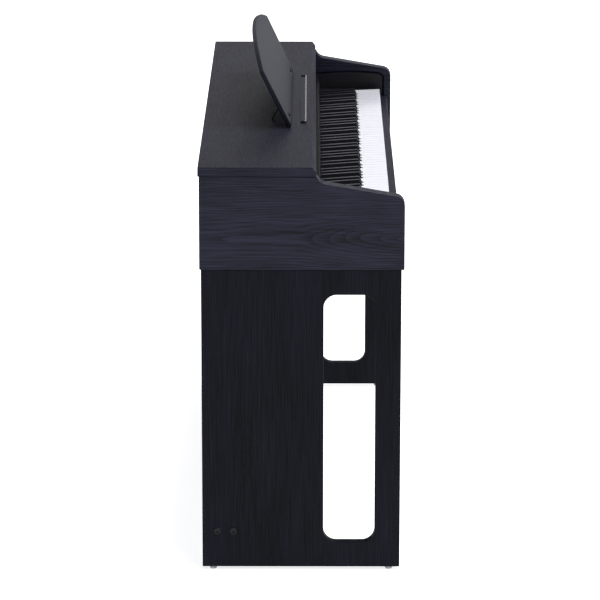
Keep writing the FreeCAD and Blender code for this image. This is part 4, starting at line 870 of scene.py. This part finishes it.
class PIANO_OT_fasteners(PianoOperator, bpy.types.Operator):
    """Turn the screws, the stand's bolts and dowels, and the glides"""
    bl_idname = "piano.fasteners"
    bl_label = "Make the fasteners"

    def execute(self, context):
        self.rear_screws()
        self.stand_bolts()
        self.glides()
        return {"FINISHED"}

    def place(self, name, mesh, points, turn, slot):
        """Copies of a turned fastener at some points."""
        lender = template(name + "_template", mesh)
        placed = grown(name, copies_group(), points,
                       {"Copy": lender, "Turn": turn, "Material": self.finish(slot)})
        bpy.data.objects.remove(lender)
        return placed

    def rear_screws(self):
        """Pan-head screws with a square recess; the head looks backwards."""
        boxes = node_islands("rear_screws")
        low, high = boxes[0]
        length = high.y - low.y
        head = (high.x - low.x) / 2
        shank = 1.8 * MM
        head_height = 2.2 * MM
        profile = [(shank * 0.4, -length), (shank, -length + 4 * MM), (shank, -head_height), (head, -head_height),
                   (head, -1.2 * MM), (head * 0.86, -0.4 * MM), (head * 0.6, 0.0), (head * 0.42, 0.0),
                   (head * 0.38, -1.2 * MM), (0.1 * MM, -1.3 * MM)]
        mesh = turned("rear_screw_template", profile, self.finish("screw_black"), lobes={7: 4, 8: 4})
        points = [(middle(a, b).x, b.y, middle(a, b).z) for a, b in boxes]
        publish(self.place("rear_screws_turned", mesh, points, (-math.pi / 2, 0, 0), "screw_black"),
                ["rear_screws"])

    def stand_bolts(self):
        """Capped bolts with a hexagon recess, and the fluted dowels that locate the arms."""
        boxes = node_islands("stand_bolts")
        bolts = [box for box in boxes if box[1].x - box[0].x > box[1].z - box[0].z]
        dowels = [box for box in boxes if box not in bolts]
        low, high = bolts[0]
        head = (high.z - low.z) / 2
        length = high.x - low.x
        shank = 3.0 * MM
        head_height = 3.0 * MM
        profile = [(shank * 0.6, -length), (shank, -length + 2 * MM), (shank, -head_height),
                   (head, -head_height), (head, -0.9 * MM), (head * 0.93, -0.25 * MM), (head * 0.8, 0.0),
                   (head * 0.62, -0.15 * MM), (head * 0.46, -0.5 * MM), (head * 0.42, -2.4 * MM),
                   (0.1 * MM, -2.5 * MM)]
        mesh = turned("stand_bolt_template", profile, self.finish("screw_black"), lobes={8: 6, 9: 6})
        placed = []
        for side, label in ((-1, "bass"), (1, "treble")):
            points = [((a if side < 0 else b).x, middle(a, b).y, middle(a, b).z)
                      for a, b in bolts if middle(a, b).x * side > 0]
            placed.append(self.place("stand_bolts_" + label, mesh, points, (0, side * math.pi / 2, 0),
                                     "screw_black"))
        low, high = dowels[0]
        radius = (high.x - low.x) / 2
        half = (high.z - low.z) / 2
        pin = [(radius * 0.75, -half), (radius, -half + 2 * MM), (radius, half - 2 * MM), (radius * 0.75, half)]
        mesh = turned("dowel_template", pin, self.finish("screw_black"), lobes={1: 12, 2: 12})
        points = [middle(a, b) for a, b in dowels]
        placed.append(self.place("stand_dowels", mesh, points, (0, 0, 0), "screw_black"))
        publish(joined("stand_bolts_turned", placed), ["stand_bolts"])

    def glides(self):
        """Round nylon glides with a stepped rim on a screw stem."""
        boxes = node_islands("leg_feet")
        low, high = boxes[0]
        radius = (high.x - low.x) / 2
        pad = LEG_LOW.z
        stem = 3.0 * MM
        profile = [(radius - 1.4 * MM, 0.0), (radius - 0.4 * MM, 0.5 * MM), (radius, 1.4 * MM),
                   (radius, pad * 0.55), (radius - 0.9 * MM, pad * 0.62), (radius - 0.9 * MM, pad),
                   (stem, pad), (stem, high.z - low.z)]
        mesh = turned("glide_template", profile, self.finish("glide"))
        points = [(middle(a, b).x, middle(a, b).y, a.z) for a, b in boxes]
        publish(self.place("leg_feet_turned", mesh, points, (0, 0, 0), "glide"), ["leg_feet"])


class PIANO_OT_speakers(PianoOperator, bpy.types.Operator):
    """Make the speaker cones and their perforated grilles"""
    bl_idname = "piano.speakers"
    bl_label = "Make the speakers"

    def execute(self, context):
        paint("speaker_frames", self.finish("speaker_steel"))
        self.cones()
        self.grilles()
        return {"FINISHED"}

    def cones(self):
        """Paper cones with a rolled surround and a domed dust cap, mouth down."""
        boxes = node_islands("speaker_cones")
        low, high = boxes[0]
        mouth = (high.x - low.x) / 2
        depth = high.z - low.z
        throat = 16 * MM
        paper = 0.8 * MM
        surround = [(mouth - 7 * MM * (1 - math.cos(a)) / 2, 3.2 * MM * math.sin(a) * 0.9 + 0.2 * MM)
                    for a in (math.pi * i / 6 for i in range(7))]
        wall = [(mouth - 7 * MM + (throat - mouth + 7 * MM) * t, depth * 0.94 * t + 0.5 * MM)
                for t in (0.15, 0.4, 0.7, 1.0)]
        dome = [(throat * math.cos(a), depth * 0.94 - 6 * MM * math.sin(a)) for a in (0.3, 0.7, 1.1, 1.5)]
        outline = surround + wall + dome
        back = [(r + paper * 0.3, h + paper) for r, h in reversed(outline[:-4])]
        back.insert(0, (1.0 * MM, depth))
        mesh = turned("cone_template", outline + back, self.finish("speaker_paper"), segments=40)
        lender = template("cone_template_object", mesh)
        points = [(middle(a, b).x, middle(a, b).y, a.z) for a, b in boxes]
        placed = grown("speaker_cones_pressed", copies_group(), points,
                       {"Copy": lender, "Material": self.finish("speaker_paper")})
        bpy.data.objects.remove(lender)
        publish(placed, ["speaker_cones"])

    def grilles(self):
        """Perforated sheet with a rolled rim."""
        boxes = node_islands("speaker_grilles")
        low, high = boxes[0]
        radius = (high.x - low.x) / 2
        pitch = 5.0 * MM
        rim_width = 6.0 * MM
        cell = template("grille_cell", drilled_cell(pitch, 1.75 * MM, 1.0 * MM, self.finish("grille_cloth")))
        points = [(middle(a, b).x, middle(a, b).y, a.z + 0.4 * MM) for a, b in boxes]
        sheets = grown("grille_sheets", perforated_group(), points,
                       {"Cell": cell, "Pitch": pitch, "Radius": radius - rim_width * 0.7,
                        "Material": self.finish("grille_cloth")})
        bpy.data.objects.remove(cell)
        height = high.z - low.z
        profile = [(radius - rim_width, 0.2 * MM), (radius - rim_width * 0.6, 0.0), (radius - 1.2 * MM, 0.0),
                   (radius - 0.3 * MM, 0.5 * MM), (radius, 1.4 * MM), (radius, height),
                   (radius - rim_width, height)]
        rim = template("grille_rim", washer("grille_rim", profile, self.finish("grille_cloth"), segments=48))
        rims = grown("grille_rims", copies_group(), [(p[0], p[1], low.z) for p in points],
                     {"Copy": rim, "Material": self.finish("grille_cloth")})
        bpy.data.objects.remove(rim)
        publish(joined("speaker_grilles_perforated", [sheets, rims]), ["speaker_grilles"])


def drilled_cell(pitch, hole, thickness, material):
    """One six-sided cell of a perforated sheet, with its hole through."""
    sides = 12
    corner = pitch / math.sqrt(3)
    work = bmesh.new()
    loops = []
    for radius, height in ((corner, 0.0), (hole, 0.0), (hole, thickness), (corner, thickness)):
        loop = []
        for step in range(sides):
            angle = math.tau * step / sides + math.pi / 6
            reach = radius * (math.cos(math.pi / 6) if radius == corner and step % 2 else 1.0)
            loop.append(work.verts.new((reach * math.cos(angle), reach * math.sin(angle), height)))
        loops.append(loop)
    for inner, outer in zip(loops, loops[1:]):
        for step in range(sides):
            after = (step + 1) % sides
            work.faces.new((inner[step], inner[after], outer[after], outer[step]))
    bmesh.ops.recalc_face_normals(work, faces=work.faces)
    mesh = bpy.data.meshes.new("drilled_cell")
    work.to_mesh(mesh)
    work.free()
    mesh.materials.append(material)
    return mesh


class PIANO_OT_action(PianoOperator, bpy.types.Operator):
    """Finish the key action and the electronics"""
    bl_idname = "piano.action"
    bl_label = "Finish the action"

    def execute(self, context):
        paint("key_chassis", self.finish("chassis_plastic"))
        paint("key_pivot_rod", self.finish("steel"))
        paint("key_spring_comb", self.finish("steel"))
        paint("key_sensor_board", self.finish("circuit_board"))
        paint("main_board", self.finish("circuit_board"))
        self.components()
        return {"FINISHED"}

    def components(self):
        """Small parts soldered over the free end of the main board."""
        low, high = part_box("main_board")
        face_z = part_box("key_bed")[1].z + 6 * MM + 1.6 * MM
        x0, x1 = low.x + 18 * MM, low.x + 140 * MM
        y0, y1 = low.y + 10 * MM, high.y - 10 * MM
        part_height = 3.0 * MM
        corners = [(x0, y0, face_z + part_height / 2), (x1, y0, face_z + part_height / 2),
                   (x1, y1, face_z + part_height / 2), (x0, y1, face_z + part_height / 2)]
        parts = grown("main_board_components", board_parts_group(), corners,
                      {"Spacing": 13 * MM, "Part Size": (7 * MM, 4.5 * MM, part_height), "Seed": 4,
                       "Material": self.finish("chassis_plastic")}, faces=[(0, 1, 2, 3)])
        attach(parts, "cabinet_and_stand")


class PIANO_OT_stage(PianoOperator, bpy.types.Operator):
    """Lay the floor and set the camera and the lights"""
    bl_idname = "piano.stage"
    bl_label = "Set the stage"

    def execute(self, context):
        settings = context.scene.piano_stage
        self.floor(context)
        self.camera(context, settings)
        self.room(context, settings)
        return {"FINISHED"}

    def floor(self, context):
        """A wide pale floor at the foot of the stand."""
        half = 40.0
        mesh = bpy.data.meshes.new("studio_floor")
        mesh.from_pydata([(-half, -half, LOW.z), (half, -half, LOW.z), (half, half, LOW.z), (-half, half, LOW.z)],
                         [], [(0, 1, 2, 3)])
        colour = context.scene.piano_colours.floor
        # back-lit acrylic shooting table: dull and even, with the faintest clouding
        material, tree, principled = surface("back_lit_acrylic", colour, 0.9, specular=0.0)
        principled.inputs["Emission Color"].default_value = linear(colour)
        principled.inputs["Emission Strength"].default_value = context.scene.piano_stage.floor_glow
        clouds = noise(tree, stretched(tree, "XYZ", (1.5, 1.5, 1.5)), detail=2.0)
        tree.links.new(blend(tree, clouds, "#F3F3F3", colour), principled.inputs["Base Color"])
        mesh.materials.append(material)
        link("studio_floor", mesh)

    def camera(self, context, settings):
        """A long lens at the bass end, looking along the keyboard."""
        lens = bpy.data.cameras.new("camera")
        lens.lens = settings.lens
        lens.sensor_width = 36.0
        lens.clip_end = 200.0
        camera = link("camera", lens)
        pitch, yaw, roll = settings.camera_pitch, settings.camera_yaw, settings.camera_roll
        forward = Vector((math.cos(pitch) * math.cos(yaw), math.cos(pitch) * math.sin(yaw), -math.sin(pitch)))
        level = forward.cross(Vector((0, 0, 1))).normalized()
        upright = level.cross(forward)
        right = level * math.cos(roll) + upright * math.sin(roll)
        up = upright * math.cos(roll) - level * math.sin(roll)
        camera.matrix_world = Matrix((
            (right.x, up.x, -forward.x, -settings.camera_distance),
            (right.y, up.y, -forward.y, settings.camera_side),
            (right.z, up.z, -forward.z, settings.camera_height),
            (0, 0, 0, 1)))
        context.scene.camera = camera

    def aim(self, lamp, place, target):
        direction = Vector(target) - Vector(place)
        lamp_object = link(lamp.name, lamp)
        lamp_object.matrix_world = (Matrix.Translation(place)
                                    @ direction.to_track_quat("-Z", "Y").to_matrix().to_4x4())

    def softbox(self, name, power, size, place, target):
        lamp = bpy.data.lights.new(name, "AREA")
        lamp.shape = "RECTANGLE"
        lamp.size, lamp.size_y = size
        lamp.energy = power
        self.aim(lamp, place, target)

    def room(self, context, settings):
        """A dim even room, a broad light overhead, and softboxes on the player's side and past the far end."""
        world = bpy.data.worlds.new("studio_room")
        world.use_nodes = True
        world.node_tree.nodes["Background"].inputs["Color"].default_value = linear("#E4E8F8")
        world.node_tree.nodes["Background"].inputs["Strength"].default_value = settings.sky
        context.scene.world = world
        context.scene.view_settings.view_transform = "Standard"
        overhead = bpy.data.lights.new("overhead_light", "SUN")
        overhead.energy = settings.key_light
        overhead.angle = settings.key_softness
        self.aim(overhead, (0.0, -1.2, 4.0), (0.0, 0.0, 0.8))
        self.softbox("player_softbox", settings.front_light, (3.0, 2.0), (-1.8, -3.4, 2.6), (-0.4, 0.0, 0.8))
        self.softbox("far_softbox", settings.far_light, (4.0, 1.6), (5.2, 0.0, 2.4), (0.0, 0.0, 0.8))


class PIANO_PT_panel(bpy.types.Panel):
    """Lists the steps and the settings"""
    bl_idname = "PIANO_PT_panel"
    bl_label = "Console Piano"
    bl_space_type = "VIEW_3D"
    bl_region_type = "UI"
    bl_category = "Piano"

    def draw(self, context):
        for step in STEPS:
            self.layout.operator(step.bl_idname)
        for group in (context.scene.piano_colours, context.scene.piano_sizes, context.scene.piano_stage):
            box = self.layout.box()
            for name in group.__annotations__:
                box.prop(group, name)


STEPS = (PIANO_OT_finishes, PIANO_OT_panels, PIANO_OT_keys, PIANO_OT_cover, PIANO_OT_rest, PIANO_OT_controls,
         PIANO_OT_pedals, PIANO_OT_fasteners, PIANO_OT_speakers, PIANO_OT_action, PIANO_OT_stage)
GROUPS = {"piano_colours": PianoColours, "piano_sizes": PianoSizes, "piano_stage": PianoStage}


def register():
    for kind in (*GROUPS.values(), *STEPS, PIANO_PT_panel):
        bpy.utils.register_class(kind)
    for name, kind in GROUPS.items():
        setattr(bpy.types.Scene, name, bpy.props.PointerProperty(type=kind))


def unregister():
    for name in GROUPS:
        delattr(bpy.types.Scene, name)
    for kind in (PIANO_PT_panel, *reversed(STEPS), *GROUPS.values()):
        bpy.utils.unregister_class(kind)


def main():
    register()
    for step in STEPS:
        group, name = step.bl_idname.split(".")
        getattr(getattr(bpy.ops, group), name)()


if __name__ == "__main__":
    main()
